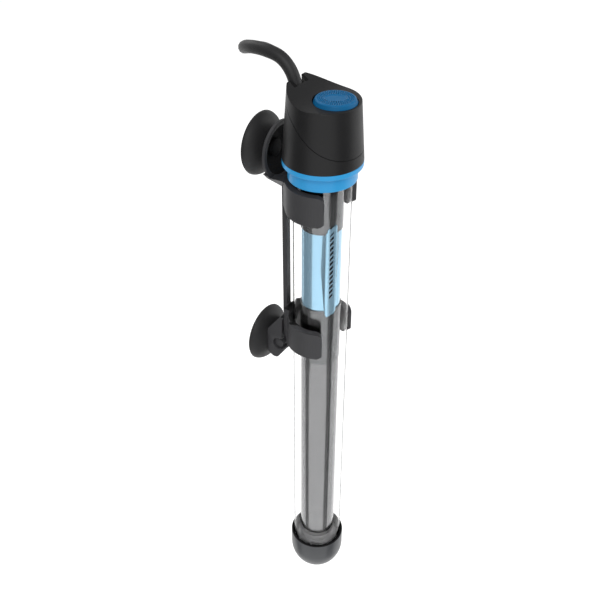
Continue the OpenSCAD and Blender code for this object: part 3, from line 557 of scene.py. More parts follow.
def head_solid(front_edge, rear_edge, columns=360):
    """The head as rows of (radius, height) round the axis: socket of the tube, side,
    rounded top edge and roof. The edge's rounding grows from front to rear."""
    a = np.linspace(0, 2 * math.pi, columns, endpoint=False)
    back = np.cos(a)
    one = np.ones(columns)
    edge_r = head_side(HEAD_H, back)
    for _ in range(30):         # side and roof meet where each gives the other
        edge_r = head_side(head_roof(edge_r * back), back)
    edge_z = head_roof(edge_r * back)
    size = front_edge + (rear_edge - front_edge) * (0.5 + 0.5 * np.tanh(2 * (back + 0.3)))
    socket, foot_edge = 3.5, 0.25
    rows = [(0 * one, socket * one), (SOCKET_R * one, socket * one),
            (SOCKET_R * one, 0 * one)]
    foot_r = head_side(0.0, back)
    for t in np.linspace(0, 1, 4):
        rows.append((arc(foot_r - foot_edge, foot_r, head_side(foot_edge, back), t),
                     arc(0.0, 0.0, foot_edge, t) * one))
    for t in np.linspace(0, 1, 34)[1:]:
        z = foot_edge + (edge_z - size - foot_edge) * t
        rows.append((head_side(z, back), z))
    low_r, in_r = head_side(edge_z - size, back), edge_r - size
    for t in np.linspace(0, 1, 8)[1:]:
        rows.append((arc(low_r, edge_r, in_r, t),
                     arc(edge_z - size, edge_z, head_roof(in_r * back), t)))
    for t in np.linspace(1, 0, 26)[1:]:
        rows.append((in_r * t, head_roof(in_r * t * back)))
    r, z = (np.array([row[i] for row in rows]) for i in (0, 1))
    pts = np.stack([r * np.sin(a), r * back, z], -1) * MM + HEAD_FOOT
    return grid("head", pts)


def parting_line(n=64):
    """The cubic curve (Bezier, over four points), seen from the side, along which the
    head's shells part: low in front, then up the sides and out at the rear under the
    roof's edge."""
    t = np.linspace(0, 1, n)[:, None]
    p = PARTING
    return ((1 - t) ** 3 * p[0] + 3 * t * (1 - t) ** 2 * p[1]
            + 3 * t ** 2 * (1 - t) * p[2] + t ** 3 * p[3])


def front_of_head(gap):
    """A block that holds all of the head in front of the parting line, moved away from
    the line by gap millimetres."""
    shift = np.array([-gap, gap]) / math.sqrt(2)
    top, front, low, half = 38.0, -30.0, 3.0, 30
    outline = np.concatenate([parting_line() + shift, [
        [PARTING[-1, 0] - gap, top], [front, top], [front, low + gap]]])

    def places(corners, end):
        y, z = corners.T
        x = np.full_like(y, (2 * end - 1) * half)
        return HEAD_FOOT + np.stack([x, y, z], -1) * MM
    return prism("front block", outline, places)


def thicken_clip(mesh, low):
    """Moves the outside of a clip's arms out to their moulded thickness, and raises its
    lower edge by rise, which fades evenly to nothing at fade millimetres higher."""
    near, rear, slack, rise, fade = 0.08, 12.5, 0.1, 0.8, 4
    pts = from_tube(mesh.vertices, "co")
    r = np.hypot(pts[:, 0], pts[:, 1])
    outer = ((abs(r - CLIP_R) < near) & (pts[:, 1] < rear) & (pts[:, 2] > low - slack)
             & (pts[:, 2] < low + CLIP_H + slack))
    pts[outer, :2] *= CLIP_OUT / CLIP_R
    pts[outer, 2] += rise * np.clip((low + fade - pts[outer, 2]) / fade, 0, 1)
    put_back(mesh, pts)


def side_prism(name, outline, half):
    """A prism of an outline (y, z) from the tube's axis and the end cap's rim."""
    def places(corners, end):
        y, z = np.asarray(corners, float).T * MM
        return np.stack([np.full_like(y, (2 * end - 1) * half * MM), y + TUBE_Y,
                         z + CAP_Z], -1)
    return prism(name, outline, places)


def clip_fill(low):
    """The wedge between a clip and the spine: from the spine's rear corners straight to
    where the line touches the clip's circle."""
    corner = np.array([5.05, 16.7])
    into_clip, over_low, under_top = 1.2, 0.85, 0.05
    far = np.hypot(*corner)
    touch = math.atan2(*corner) + math.acos(CLIP_OUT / far)
    a = np.linspace(touch, -touch, 25)
    inner = np.stack([np.sin(a), np.cos(a)], -1) * (CLIP_OUT - into_clip)
    tip = np.array([math.sin(touch), math.cos(touch)]) * (CLIP_OUT - 0.02)
    outline = np.concatenate([[corner, tip], inner, [tip * [-1, 1], corner * [-1, 1]]])

    def places(corners, end):
        x, y = corners.T
        z = low + (CLIP_H - under_top if end else over_low)
        return np.stack([x * MM, y * MM + TUBE_Y, np.full_like(x, z * MM + CAP_Z)], -1)
    return prism("clip wedge", outline, places)


def cord_notch():
    """The notch in which the cord rises out of the head, along the cord's own lean: as
    wide as the cord with a straight front, flaring and open to the rear."""
    front_half, flare_at, rear, top = 2.9, 0.4, 24.0, 30.0
    outline = np.array([[-front_half, NOTCH_FRONT], [front_half, NOTCH_FRONT],
                        [NOTCH_HALF, flare_at], [NOTCH_HALF, rear], [-NOTCH_HALF, rear],
                        [-NOTCH_HALF, flare_at]])

    def places(corners, end):
        x, v = corners.T
        w = np.full_like(x, top if end else NOTCH_FLOOR)
        return along_cord(np.stack([x, v, w], -1))
    return prism("cord notch", outline, places)


def in_notch(x, y, z):
    """Whether points, as from_tube gives them, are on a wall of the cord's notch."""
    slack = 0.03
    back, rise = y - OUTLET[1], z - FLANGE_UP - OUTLET[2]
    v = back * math.cos(LEAN) - rise * math.sin(LEAN)
    w = back * math.sin(LEAN) + rise * math.cos(LEAN)
    return ((abs(x) < NOTCH_HALF + slack) & (v > NOTCH_FRONT - slack)
            & (w > NOTCH_FLOOR - slack))


def dial_surface(pitch, depth, columns=560):
    """The dial as rows of (radius, height) round its axis. Its face is lowered by rings of
    round dimples: in ring k, at distance q from the nearest dimple's middle, by depth
    times the square of cos(pi q / pitch). A smooth oval in the middle has no dimples and
    lies a little deeper."""
    foot, top, edge, height = 8.8, 8.3, 0.8, DIAL_H
    profile = [(0, 0), (foot - 0.2, 0), (foot, 0.2), (foot, 0.8), (top, height - edge)]
    turn = np.linspace(0, math.pi / 2, 9)[1:]
    profile += [(top - edge + edge * math.cos(t), height - edge + edge * math.sin(t))
                for t in turn]
    rings = np.linspace(top - edge, 0, 76)[1:]
    r = np.concatenate([[p[0] for p in profile], rings])[:, None]
    z = np.concatenate([[p[1] for p in profile], np.full(len(rings), height)])[:, None]
    a = np.linspace(0, 2 * math.pi, columns, endpoint=False)[None]
    x, y = r * np.cos(a), r * np.sin(a)
    z = z + 0 * a
    along = x * math.cos(OVAL_TURN) + y * math.sin(OVAL_TURN)
    across = y * math.cos(OVAL_TURN) - x * math.sin(OVAL_TURN)
    oval = np.hypot(along / OVAL_HALF[0], across / OVAL_HALF[1])
    face = (np.arange(len(r)) >= len(profile))[:, None]
    ring = np.round(r / pitch)
    count = np.maximum(np.round(2 * math.pi * ring), 1)
    around = a * count / (2 * math.pi) + 0.5 * (ring % 2)
    off_around = np.abs(around - np.round(around)) * 2 * math.pi * r / count
    off = np.hypot(off_around, r - ring * pitch)
    dimple = np.cos(np.minimum(off / pitch, 0.5) * math.pi) ** 2
    field = face & (r < DIMPLED_R) & (oval > 1.1)
    oval_depth, oval_edge = 0.18, 0.12
    sink = np.clip((1 + oval_edge / 2 - oval) / oval_edge, 0, 1)
    ease = sink * sink * (3 - 2 * sink)
    z = z - np.where(field, depth * dimple, 0) - face * oval_depth * ease
    pts = np.stack([x, y - DIAL_FRONT, z + HEAD_H - DIAL_SUNK], -1) * MM + HEAD_FOOT
    return grid("dial_face", pts, sharp=60.0)


def cup_profile():
    """Radius and distance behind the rim, in millimetres: hollow, thin rounded lip, the
    outside as the quarter of an ellipse, then the neck and the knob."""
    hollow_r, hollow_deep, rim_r, back_deep = 13.0, 4.3, 14, 6.96
    d = np.linspace(hollow_deep, 0.25, 14)
    inside = [(hollow_r * math.sqrt(max(1 - (v / hollow_deep) ** 2, 0)), -v) for v in d]
    d = np.linspace(0.35, 5.6, 20)
    outside = [(rim_r * math.sqrt(1 - (v / back_deep) ** 2), -v) for v in d]
    lip = [(13.2, -0.05), (13.45, 0.0), (13.8, -0.08)]
    back = [(8.0, -5.76), (7.6, -5.8), (2.6, -5.8), (2.6, -7.1), (3.75, -7.1),
            (4.0, -7.3), (4.0, -8.1), (3.8, -8.5), (3.2, -8.8), (0, -8.8)]
    return inside + lip + outside + back


def quarter(radius, rise, degrees):
    """Points of an ellipse round the centre of the glass's round end, at angles from the
    level: radius times the cosine out, and rise times the sine up."""
    return [(radius * math.cos(a), DOME_Z + rise * math.sin(a))
            for a in (math.radians(t) for t in degrees)]


def glass_profile():
    """The test tube from its outer pole up, over the rounded rim and down inside."""
    r, bore, top, edge = GLASS_R, GLASS_R - GLASS_WALL, 5.1, 0.3 * GLASS_WALL
    a = np.linspace(-90, 0, 25)
    rim = [(r, top - edge), (r - edge, top), (bore + edge, top), (bore, top - edge)]
    return quarter(r, r, a) + rim + quarter(bore, bore, a[::-1])


def cap_profile():
    """The rubber cap: nearly half a ball below a straight skirt, a rounded rim, and inside
    it the seat of the tube."""
    a = np.linspace(90, 0, 33)
    r = CAP_R
    rim = [(r, -224.75), (r - 0.15, -224.35), (r - 0.55, -224.12), (r - 0.95, -224.15),
           (SOCKET_R + 0.07, -224.5), (SOCKET_R, -224.9)]
    return quarter(r, -CAP_DOME, a) + rim + quarter(SOCKET_R, -SOCKET_R, a[::-1])


def collar_profile():
    """The collar's ring with its flange, all corners rounded."""
    r, low, under = 14.55, -8.6, -2.3
    return rounded([
        (SOCKET_R, -3.0, 0), (SOCKET_R, low, 0.3), (r, low, 0.5), (r, under, 1.1),
        (FLANGE_R, under, 0.5), (FLANGE_R, 0.0, 0.25), (SOCKET_R, 0.0, 0.2),
        (SOCKET_R, -3.0, 0)])


def shape_rail(mesh, top, low):
    """Gives the sleeve's rail slanting ends and sloping sides, and its slots a lean and
    some width. The sleeve's own edges are at top and low over the end cap's rim. At a
    point that lies side beside the rail's middle, what stands over top or hangs under low
    is scaled by a share that grows or shrinks evenly from side to side; beyond 2 mm the
    rail's sides are drawn in by up to drawn, evenly to 4 mm; a slot rises by lean times
    side, and its width is wider times what it was."""
    over, half, slant, drawn, lean, wider = 8.65, 4.8, 0.75, 2.2, 1.1, 1.3
    in_wall, slot_half, slack = 7, 0.7, 0.05
    pts = from_tube(mesh.vertices, "co")
    out, side, z = pts[:, :2] @ RAIL_OUT, pts[:, :2] @ RAIL_SIDE, pts[:, 2]
    r = np.hypot(out, side)
    rail = (r > over) & (out > 0) & (abs(side) < half + slack)
    right = np.clip((side + half) / (2 * half), 0, 1)
    z = np.where(rail & (z > top + slack),
                 top + (z - top) * (1 - slant + slant * right), z)
    z = np.where(rail & (z < low - slack), low - (low - z) * (1 - slant * right), z)
    slot = (out > in_wall) & (abs(side) < slot_half)
    z = np.where(slot, z + lean * side, z)
    narrow = np.sign(side) * drawn * np.clip(abs(side) / 2 - 1, 0, 1)
    new = np.where(rail, side - narrow, side)
    new = np.where(slot, side * wider, new)
    out = np.where(rail | slot, np.sqrt(np.maximum(r ** 2 - new ** 2, 0)), out)
    pts[:, :2] = out[:, None] * RAIL_OUT + new[:, None] * RAIL_SIDE
    pts[:, 2] = z
    put_back(mesh, pts)


def in_slot(x, y, z):
    """Whether points, as from_tube gives them, are on a wall of a slot of the rail."""
    half, inner, outer = 0.95, 7.3, 9.5
    out = RAIL_OUT @ (x, y)
    return (abs(RAIL_SIDE @ (x, y)) < half) & (out > inner) & (out < outer)


def in_dark(x, y, z):
    """Whether points of the bracket, as from_tube gives them, are inside the dish or on
    the lower clip's bore behind the tube: the faces that take painted shade."""
    dish_r, dish_front, bore_r, behind, clip_top = 11.0, 20.5, 13.2, 3, 146.2
    in_dish = (np.hypot(x, z - CUP_Z) < dish_r) & (y > dish_front) & (y < DISH_REAR)
    in_clip = (np.hypot(x, y) < bore_r) & (y > behind) & (z < clip_top)
    return in_dish | in_clip


# ---------------------------------------------------------------- the cord's route

# the free cord down from its outlet, and its tail from the hank to the plug
CORD_POINTS = [[0, 0, 0], [0, 2, 4.5], [0, 5, 11.5], [0, 10, 16], [0, 17.5, 17.5],
               [2, 26, 16.5], [8, 33.5, 13], [17, 37.5, 9.5], [27, 36.5, 6],
               [34, 32.5, 0], [37.5, 28.5, -9], [39, 26.5, -19.5], [42, 25.5, -30.5],
               [47.5, 27, -41.5], [54.5, 29.5, -53.5], [62.5, 33, -65.5],
               [70.5, 37, -77.5], [78.5, 41, -89.5], [85.5, 45.5, -102.5],
               [90, 49, -115]]
TAIL_POINTS = [[0, 0, 0], [0, 0, -5], [0, 0, -18], [-2, 0.5, -29], [-8, 1, -40],
               [-14, 2, -51], [-17, 2.5, -61], [-17, 2.5, -67]]
HANK_TURN = math.radians(34)                # about Z
HANK_AT = np.array([76, 36.5, -134.5])      # its upper folds' middle from the outlet
# the hank's run between its folds, the folds' radii, half the distance of its two layers,
# and how far a run begins before its first fold
RUN, INNER_R, OUTER_R, LAYER, LEAD_IN = 96.0, 14.4, 20.1, 2.75, 4.8
DRAW_IN = INNER_R - (OUTER_R - INNER_R) / 2 - 0.15      # the runs all but meet in the tie
LAST_RUN = np.array([OUTER_R, -LAYER, -RUN - LEAD_IN])
PIN_ASIDE = 9.3                 # a plug pin from the plug's middle
EXIT = HEAD_FOOT + OUTLET * MM


def from_hank(points):
    """Points of the hank's own frame (along its folds, across its layers, up) as offsets
    from the cord's outlet, in millimetres: turned about Z and moved."""
    u, w, up = np.asarray(points, float).T
    c, s = math.cos(HANK_TURN), math.sin(HANK_TURN)
    return HANK_AT + np.stack([c * u - s * w, s * u + c * w, up], -1)


def hank_run(side, up, ra, rb, wa, wb, lo, n=18):
    """One run between two folds. Its distance from the middle and its layer ease from one
    value to the next within a third of the run that begins at lo, and the square of a sine
    draws it in towards the tie."""
    t = np.linspace(0, 1, n) if up else np.linspace(1, 0, n)
    k = np.clip(3 * (t - lo), 0, 1)
    ease = k * k * (3 - 2 * k)
    waist = DRAW_IN * np.sin(math.pi * t) ** 2
    return np.stack([side * (ra + (rb - ra) * ease - waist), wa + (wb - wa) * ease,
                     RUN * (t - 1)], -1)


def hank_fold(r, w, low):
    """Half a circle of radius r at the hank's lower or upper end."""
    a = np.radians(np.arange(10, 180, 10))
    if low:
        return np.stack([r * np.cos(a), np.full_like(a, w), -RUN - r * np.sin(a)], -1)
    return np.stack([-r * np.cos(a), np.full_like(a, w), r * np.sin(a)], -1)


def hank_route():
    """The hank from its entry to its exit: seven runs and six folds in two layers."""
    q, r, w = OUTER_R, INNER_R, LAYER
    return np.concatenate([
        [[q, w, LEAD_IN]], hank_run(1, False, q, q, w, w, 0), hank_fold(q, w, True),
        hank_run(-1, True, q, r, w, w, 2 / 3), hank_fold(r, w, False),
        hank_run(1, False, r, r, w, w, 0), hank_fold(r, w, True),
        hank_run(-1, True, r, r, w, -w, 1 / 3), hank_fold(r, -w, False),
        hank_run(1, False, r, r, -w, -w, 0), hank_fold(r, -w, True),
        hank_run(-1, True, r, q, -w, -w, 0), hank_fold(q, -w, False),
        hank_run(1, False, q, q, -w, -w, 0), [LAST_RUN]])


def smooth_through(points, steps=6):
    """A curve through the points: between two of them the cubic whose slope at each point
    is half the step from the one before to the one after (Catmull and Rom)."""
    p = np.asarray(points, float)
    p = np.concatenate([[2 * p[0] - p[1]], p, [2 * p[-1] - p[-2]]])
    a, b, c, d = (p[i:len(p) - 3 + i, None] for i in range(4))
    t = (np.arange(steps) / steps)[None, :, None]
    body = 0.5 * (2 * b + (c - a) * t + (2 * a - 5 * b + 4 * c - d) * t ** 2
                  + (3 * b - a - 3 * c + d) * t ** 3)
    return np.concatenate([body.reshape(-1, 3), p[-2:-1]])


def cord_route():
    """The whole cord from the head to the plug, in metres in the row frame."""
    hank = hank_route()
    start = from_hank(hank[:1])
    free = smooth_through(np.concatenate([CORD_POINTS, start + [[0, 0, 5]], start]))
    tail = smooth_through(LAST_RUN + np.array(TAIL_POINTS, float), 5)
    route = np.concatenate([free[:-1], from_hank(hank)[:-1], from_hank(tail)])
    return EXIT + route * MM


def band(name, half_w, half_t, thick, low, high, bulge):
    """A closed strap round an upright bundle: a rectangle with round corners, carried
    through a cross-section whose outside bulges by bulge in the middle of its height."""
    a = np.linspace(0, 2 * math.pi, 96, endpoint=False)
    squareness, inside, edge = 6.0, 0.1, 0.3
    c, s = np.cos(a), np.sin(a)
    reach = (np.abs(c) ** squareness + np.abs(s) ** squareness) ** (-1 / squareness)
    t = np.linspace(0, 1, 9)
    out = np.stack([thick + bulge * np.sin(math.pi * t), low + (high - low) * t], -1)
    start = [inside, low + edge]
    loop = np.concatenate([[start], out, [[inside, high - edge], [0.0, high - 2 * edge],
                                          [0.0, low + 2 * edge], start]])
    off, up = loop[:, :1], loop[:, 1:]
    u, w = (half_w + off) * reach * c, (half_t + off) * reach * s
    pts = np.stack([u, w, up + 0 * a], -1)
    flat = EXIT + from_hank(pts.reshape(-1, 3)) * MM
    return grid(name, flat.reshape(pts.shape), sharp=50.0)


# ---------------------------------------------------------------- operators

# the camera: place in metres, turn about X, Y and Z in degrees, sensor and lens in mm
CAMERA_AT, CAMERA_TURN = (-0.27648, -0.20425, 0.16363), (54.399, 0.017, -56.380)
SENSOR, LENS = 36.0, 53.03
FLOOR_Z = -0.45


class HeaterOperator(bpy.types.Operator):
    """Shared by the heater's operators."""
    bl_options = {"REGISTER", "UNDO"}

    def execute(self, context):
        self.make(*settings())
        return {"FINISHED"}


class HEATER_OT_camera(HeaterOperator):
    """Sets the camera above and to the left of the heater."""
    bl_idname = "heater.camera"
    bl_label = "Camera"

    def make(self, sizes, colours):
        data = bpy.data.cameras.new("camera")
        data.sensor_width, data.lens = SENSOR, LENS
        camera = bpy.data.objects.new("camera", data)
        camera.location = CAMERA_AT
        camera.rotation_euler = [math.radians(v) for v in CAMERA_TURN]
        bpy.context.scene.collection.objects.link(camera)
        bpy.context.scene.camera = camera


class HEATER_OT_plug(HeaterOperator):
    """Makes the plug, its pins and the tie round the hank."""
    bl_idname = "heater.plug"
    bl_label = "Plug and tie"

    def make(self, sizes, colours):
        edged_copy("plug", "plug_body", "heater", "cord_rubber", "cord", size=0.9,
                   sharp=35.0, segments=3)
        top = from_hank(LAST_RUN + np.array([TAIL_POINTS[-1]], float))[0]
        pins = []
        c, s = math.cos(HANK_TURN), math.sin(HANK_TURN)
        for side in (-1, 1):
            centre = EXIT + (top + np.array([c, s, 0]) * side * PIN_ASIDE) * MM
            profile = rounded([(0, -55.0, 0), (2, -55.0, 1.2), (2, -45.5, 0.1),
                               (1.85, -45.3, 0.1), (1.85, -36.0, 0), (0, -36.0, 0)])
            pins.append(turned("plug_pin", profile, centre, segments=40))
        join(pins, "plug_pins_plated")
        mounted(pins[0], "heater", "pin_metal", "nickel", "plug_pins")
        tie = band("tie", half_w=11.6, half_t=5.5, thick=0.6, low=-52.5, high=-43.5,
                   bulge=sizes.tie_bulge / MM)
        mounted(tie, "heater", "white_plastic", "white", "hank_tie")


class HEATER_OT_cord(HeaterOperator):
    """Makes the mains cord from the head through its hank to the plug."""
    bl_idname = "heater.cord"
    bl_label = "Cord"

    def make(self, sizes, colours):
        route = cord_route()
        curve = bpy.data.curves.new("mains_cord", "CURVE")
        curve.dimensions = "3D"
        curve.bevel_depth = sizes.cord_diameter / 2
        curve.bevel_resolution = 4
        curve.use_fill_caps = True
        spline = curve.splines.new("POLY")
        spline.points.add(len(route) - 1)
        spline.points.foreach_set("co", np.pad(route, ((0, 0), (0, 1)),
                                               constant_values=1.0).ravel())
        spline.use_smooth = True
        obj = bpy.data.objects.new("mains_cord", curve)
        bpy.context.scene.collection.objects.link(obj)
        mounted(obj, "heater", "cord_rubber", "cord", "cord", "cord_hank",
                "cord_tail")


class HEATER_OT_head(HeaterOperator):
    """Makes the head's two shells with the notch for the cord, and finishes the cord's
    bush and the dial's seal."""
    bl_idname = "heater.head"
    bl_label = "Head"

    def make(self, sizes, colours):
        base = head_solid(sizes.front_edge / MM, sizes.rear_edge / MM)
        r, low, high = 9.2, HEAD_H - 1.3, HEAD_H + 4
        recess = turned("recess", [(0, low), (r, low), (r, high), (0, high)],
                        HEAD_FOOT + np.array([0, -DIAL_FRONT, 0]) * MM, segments=96)
        cut(base, recess, "DIFFERENCE")
        cut(base, cord_notch(), "DIFFERENCE")
        cover = base.copy()
        cover.data = base.data.copy()
        bpy.context.scene.collection.objects.link(cover)
        gap = sizes.parting / MM / 2
        cut(cover, front_of_head(gap), "INTERSECT")
        cut(base, front_of_head(-gap), "DIFFERENCE")
        for obj, name in ((cover, "cover"), (base, "base")):
            obj.name = obj.data.name = name
            weld(obj.data, distance=4e-6)
            smooth(obj.data, sharp=28)
            mounted(obj, "heater", "head_plastic", "head", "head_" + name)
            # painted shade on the walls of the cord's notch
            patch(obj, "shade", in_notch)
        dress("cord_gland", "seal")
        dress("dial_seal", "seal")


class HEATER_OT_dial(HeaterOperator):
    """Makes the setting dial with its dimpled face, and finishes its spindle."""
    bl_idname = "heater.dial"
    bl_label = "Dial"

    def make(self, sizes, colours):
        depth = sizes.dimple_depth / MM
        dial = dial_surface(sizes.dimple_pitch / MM, depth)
        mounted(dial, "dial", "dial_plastic", "dial", "dial")
        face = FLANGE_UP + HEAD_H + DIAL_H - DIAL_SUNK
        shaded, slack = 0.3, 0.15
        # painted shade: faces sunk more than shaded times the dimple depth take the darker
        # blue
        patch(dial, "hollow", lambda x, y, z: (
            (z > face - depth - slack) & (z < face - shaded * depth)
            & (np.hypot(x, y + DIAL_FRONT) < DIMPLED_R + slack)))
        dress("dial_spindle", "white")


class HEATER_OT_tube(HeaterOperator):
    """Makes the collar, the glass tube and the rubber cap at its lower end."""
    bl_idname = "heater.tube"
    bl_label = "Collar, tube and cap"

    def make(self, sizes, colours):
        collar = turned("collar_ring", collar_profile(), HEAD_FOOT, segments=192)
        mounted(collar, "heater", "blue_plastic", "collar", "collar")
        glass = turned("glass", glass_profile(), TUBE_AXIS, segments=192)
        mounted(glass, "heater", "tube_glass", "glass", "glass_tube")
        cap = turned("cap", cap_profile(), TUBE_AXIS, segments=160)
        mounted(cap, "heater", "cap_rubber", "cap", "end_cap")
        # painted shade on the cap's rim: faces within rim_band millimetres of it
        rim_band = 0.7
        patch(cap, "shade", lambda x, y, z: z > -rim_band)


class HEATER_OT_bracket(HeaterOperator):
    """Makes the bracket and the block that holds the lower cup."""
    bl_idname = "heater.bracket"
    bl_label = "Bracket"

    def make(self, sizes, colours):
        edge = sizes.edge / MM
        bracket = edged_copy("clip_bracket", "bracket", "bracket", "black_plastic",
                             "bracket")
        for low in CLIPS:
            thicken_clip(bracket.data, low)
        apply_all(bevelled(bracket, edge))
        low, high, front, rear = CLIPS[0] + CLIP_H, CLIPS[1], 5, 25
        window = [[front, low], [rear, low], [rear, high], [front, high]]
        cut(bracket, side_prism("window", window, half=20.0), "DIFFERENCE")
        strip = apply_all(bevelled(side_prism("strip", STRIP, half=1.6), 0.3))
        join([bracket, strip] + [clip_fill(low) for low in CLIPS], "clip_bracket")
        # painted shade in the dish and on the lower clip's bore behind the tube
        patch(bracket, "shade", in_dark)
        edged_copy("tilting_block", "lower_cup_holder", "lower_holder", "black_plastic",
                   "bracket", size=edge)


class HEATER_OT_cups(HeaterOperator):
    """Makes the two suction cups."""
    bl_idname = "heater.cups"
    bl_label = "Suction cups"

    def make(self, sizes, colours):
        low = mid("lower_cup")[2]
        for name, z, node in (("cup_above", 0.0, "upper_cup"),
                              ("cup_below", low, "lower_cup")):
            cup = turned(name, cup_profile(), [0, 0, z], wall=True, segments=144)
            mounted(cup, node, "cup_rubber", "cup", node)
            # painted shade on the cup's neck and knob, down in the dish
            patch(cup, "shade", lambda x, y, z: y < DISH_REAR)


class HEATER_OT_thermostat(HeaterOperator):
    """Makes the thermostat's carrier and the element's holder, shapes the sleeve, and
    finishes strip, contacts, lamp, wires and bung."""
    bl_idname = "heater.thermostat"
    bl_label = "Thermostat"

    def make(self, sizes, colours):
        for name, node in (("carrier", "thermostat_carrier"),
                           ("holder", "element_holder")):
            low, high = (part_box(node)[end][2] / MM for end in (0, 1))
            shell = turned(name, rounded([
                (0, low, 0), (SHELL_R, low, 0.3), (SHELL_R, high, 0.3), (0, high, 0)]),
                TUBE_AXIS, segments=192)
            mounted(shell, "heater", "carrier_plastic", "carrier", node)
        sleeve = edged_copy("slotted_sleeve", "thermostat_sleeve", "heater",
                            "pale_blue_plastic", "sleeve")
        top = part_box("thermostat_carrier")[0][2] - CAP_Z
        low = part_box("element_holder")[1][2] - CAP_Z
        shape_rail(sleeve.data, top / MM, low / MM)
        # painted shade on the walls of the rail's slots
        patch(sleeve, "shade", in_slot)
        for node, finish in (("bimetal_strip", "brass"), ("contact_blade", "brass"),
                             ("contacts", "nickel"), ("pilot_lamp", "lamp"),
                             ("lead_wires", "wire"), ("tube_bung", "seal")):
            dress(node, finish)


class HEATER_OT_element(HeaterOperator):
    """Makes the element's steel sheath and its foot, and finishes core and winding."""
    bl_idname = "heater.element"
    bl_label = "Element"

    def make(self, sizes, colours):
        low, high = (end[2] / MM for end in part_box("element_sheath"))
        bore = 7.5
        sheath = turned("sheath", rounded([
            (bore, low + 2, 0), (bore, low, 0.3), (SHEATH_R, low, 0.3),
            (SHEATH_R, high, 0.3), (bore, high, 0.3), (bore, low + 2, 0)]), TUBE_AXIS,
            segments=160)
        mounted(sheath, "heater", "sheath_metal", "sheath", "element_sheath")
        dress("ceramic_core", "ceramic")
        dress("heating_winding", "winding")
        foot = turned("foot", rounded([
            (0, -240, 0), (7.5, -240, 3), (11.1, -234, 2), (11.1, -228, 0.5),
            (9.2, -225.4, 0.3), (8.95, -225.0, 0.1), (8.95, -221.7, 0.03),
            (SHEATH_R, -221.7, 0.02), (SHEATH_R, -223, 0), (0, -223, 0)]), TUBE_AXIS,
            segments=160)
        mounted(foot, "heater", "seal_rubber", "silicone", "element_foot")


def seen_rays(tree):
    """1 for camera, mirror and transmitted rays, 0 for the light that falls on things."""
    rays = add(tree, "LightPath")
    both = add(tree, "Math", {"operation": "MAXIMUM"},
               i0=rays.outputs["Is Camera Ray"], i1=rays.outputs["Is Glossy Ray"])
    return add(tree, "Math", {"operation": "MAXIMUM"}, i0=both.outputs[0],
               i1=rays.outputs["Is Transmission Ray"]).outputs[0]


# dark cards round the tube, which only gloss, metal and glass mirror: they give the
# tube, the rod and the head their upright bands. Rows: level, lower and upper height in
# metres, first and last azimuth in degrees
CARD_R = 0.15
CARDS = ((0.05, -0.08, 0.12, 118, 172), (0.05, -0.08, 0.12, 248, 296),
         (0.28, -0.116, -0.08, 88, 158), (0.28, -0.116, -0.08, 246, 295),
         (0.28, -0.204, -0.116, 88, 158), (0.28, -0.204, -0.116, 252, 289),
         (0.29, -0.425, -0.204, 120, 148), (0.29, -0.425, -0.204, 255, 286),
         (0.3, -0.44, -0.425, 120, 160), (0.3, -0.44, -0.425, 250, 300))
# the soft lamps: name, place and side in metres, power in watts
LAMPS = (("key", (-0.9, -0.5, 0.9), 0.8, 9.0), ("fill", (0.6, -1.0, 0.5), 0.9, 5.0),
         ("rim", (0.3, 0.9, 0.7), 0.6, 4.0))


def level_sheet(half, height):
    """The corners of a level square round the heater, in metres."""
    return np.array([[[-half, -half, height], [half, -half, height]],
                     [[-half, half, height], [half, half, height]]])


def hidden_card(name, level, points):
    """A glowing sheet of a level that only mirrored and transmitted rays meet."""
    mat, tree, out = new_material(name)
    glow = add(tree, "Emission", Color=(1.0, 1.0, 1.0, 1.0), Strength=level)
    tree.links.new(glow.outputs[0], out.inputs[0])
    card = grid(name, points, wrap=False)
    card.data.materials.append(mat)
    card.visible_camera = card.visible_diffuse = card.visible_shadow = False


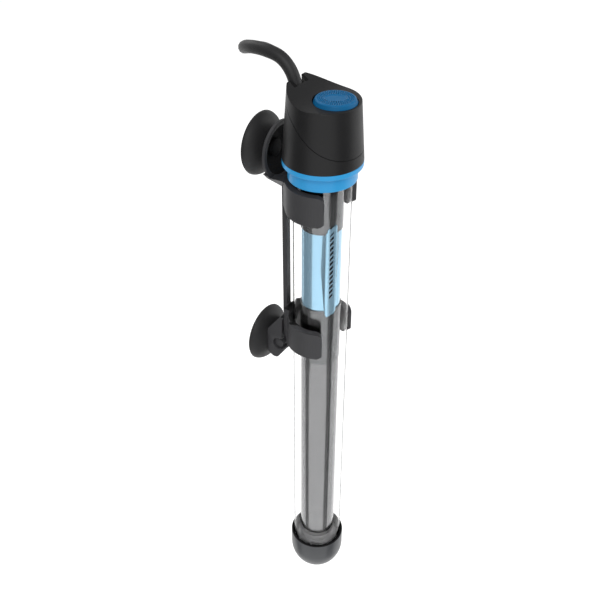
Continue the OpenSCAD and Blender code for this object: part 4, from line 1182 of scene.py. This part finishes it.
class HEATER_OT_stage(HeaterOperator):
    """Makes the floor, the dark cards, the light from all round and the soft lamps."""
    bl_idname = "heater.stage"
    bl_label = "Stage"

    def make(self, sizes, colours):
        scene = bpy.context.scene
        scene.view_settings.view_transform = "Standard"
        mat, tree, out = new_material("floor_paper")
        shown = seen_rays(tree)
        diffuse = add(tree, "BsdfDiffuse", Color=(0.86, 0.86, 0.86, 1.0))
        glow = add(tree, "Emission", Color=(1.0, 1.0, 1.0, 1.0), Strength=0.42)
        both = add(tree, "AddShader", i0=diffuse.outputs[0], i1=glow.outputs[0])
        pick = add(tree, "MixShader", Fac=shown, i1=diffuse.outputs[0],
                   i2=both.outputs[0])
        tree.links.new(pick.outputs[0], out.inputs[0])
        floor = grid("floor", level_sheet(6, FLOOR_Z), wrap=False)
        floor.data.materials.append(mat)

        for number, (level, low, high, start, end) in enumerate(CARDS):
            a = np.radians(np.linspace(start, end, 17))
            edge = np.stack([CARD_R * np.cos(a), TUBE_Y + CARD_R * np.sin(a), 0 * a], -1)
            hidden_card("card_%d" % number, level,
                        np.stack([edge + [0, 0, low], edge + [0, 0, high]]))
        # a grey ceiling for the same mirrors: without it every top would shine
        hidden_card("ceiling", 0.3, level_sheet(2.5, 1))

        world = bpy.data.worlds.new("white_room")
        world.use_nodes = True
        tree = world.node_tree
        tree.nodes.clear()
        # white to the eye and in every mirror, greyer as light, so colours come out true
        level = add(tree, "MapRange", Value=seen_rays(tree), i1=0.0, i2=1.0,
                    i3=0.62, i4=1.0).outputs[0]
        back = add(tree, "Background", Color=(1.0, 1.0, 1.0, 1.0), Strength=level)
        add(tree, "OutputWorld", Surface=back.outputs[0])
        scene.world = world

        target = Vector((0, TUBE_Y, -0.1))
        for name, place, size, power in LAMPS:
            data = bpy.data.lights.new(name, "AREA")
            data.size, data.energy = size, power
            lamp = bpy.data.objects.new(name, data)
            lamp.location = place
            aim = target - Vector(place)
            lamp.rotation_euler = aim.to_track_quat("-Z", "Y").to_euler()
            scene.collection.objects.link(lamp)


OPERATORS = (HEATER_OT_camera, HEATER_OT_plug, HEATER_OT_cord, HEATER_OT_head,
             HEATER_OT_dial, HEATER_OT_tube, HEATER_OT_bracket, HEATER_OT_cups,
             HEATER_OT_thermostat, HEATER_OT_element, HEATER_OT_stage)


class HEATER_PT_panel(bpy.types.Panel):
    """Sizes, colours and pieces of the heater."""
    bl_idname = "HEATER_PT_panel"
    bl_label = "Aquarium heater"
    bl_space_type = "VIEW_3D"
    bl_region_type = "UI"
    bl_category = "Heater"

    def draw(self, context):
        for group in settings():
            for key in group.__annotations__:
                self.layout.prop(group, key)
        for operator in OPERATORS:
            self.layout.operator(operator.bl_idname)


CLASSES = (HeaterSizes, HeaterColours) + OPERATORS + (HEATER_PT_panel,)


def register():
    for each in CLASSES:
        bpy.utils.register_class(each)
    bpy.types.Scene.heater_sizes = PointerProperty(type=HeaterSizes)
    bpy.types.Scene.heater_colours = PointerProperty(type=HeaterColours)


def unregister():
    del bpy.types.Scene.heater_sizes
    del bpy.types.Scene.heater_colours
    for each in reversed(CLASSES):
        bpy.utils.unregister_class(each)


def main():
    """Makes every piece in order."""
    register()
    make_materials()
    for operator in OPERATORS:
        group, call = operator.bl_idname.split(".")
        getattr(getattr(bpy.ops, group), call)()
    bpy.context.view_layer.update()


if __name__ == "__main__":
    main()
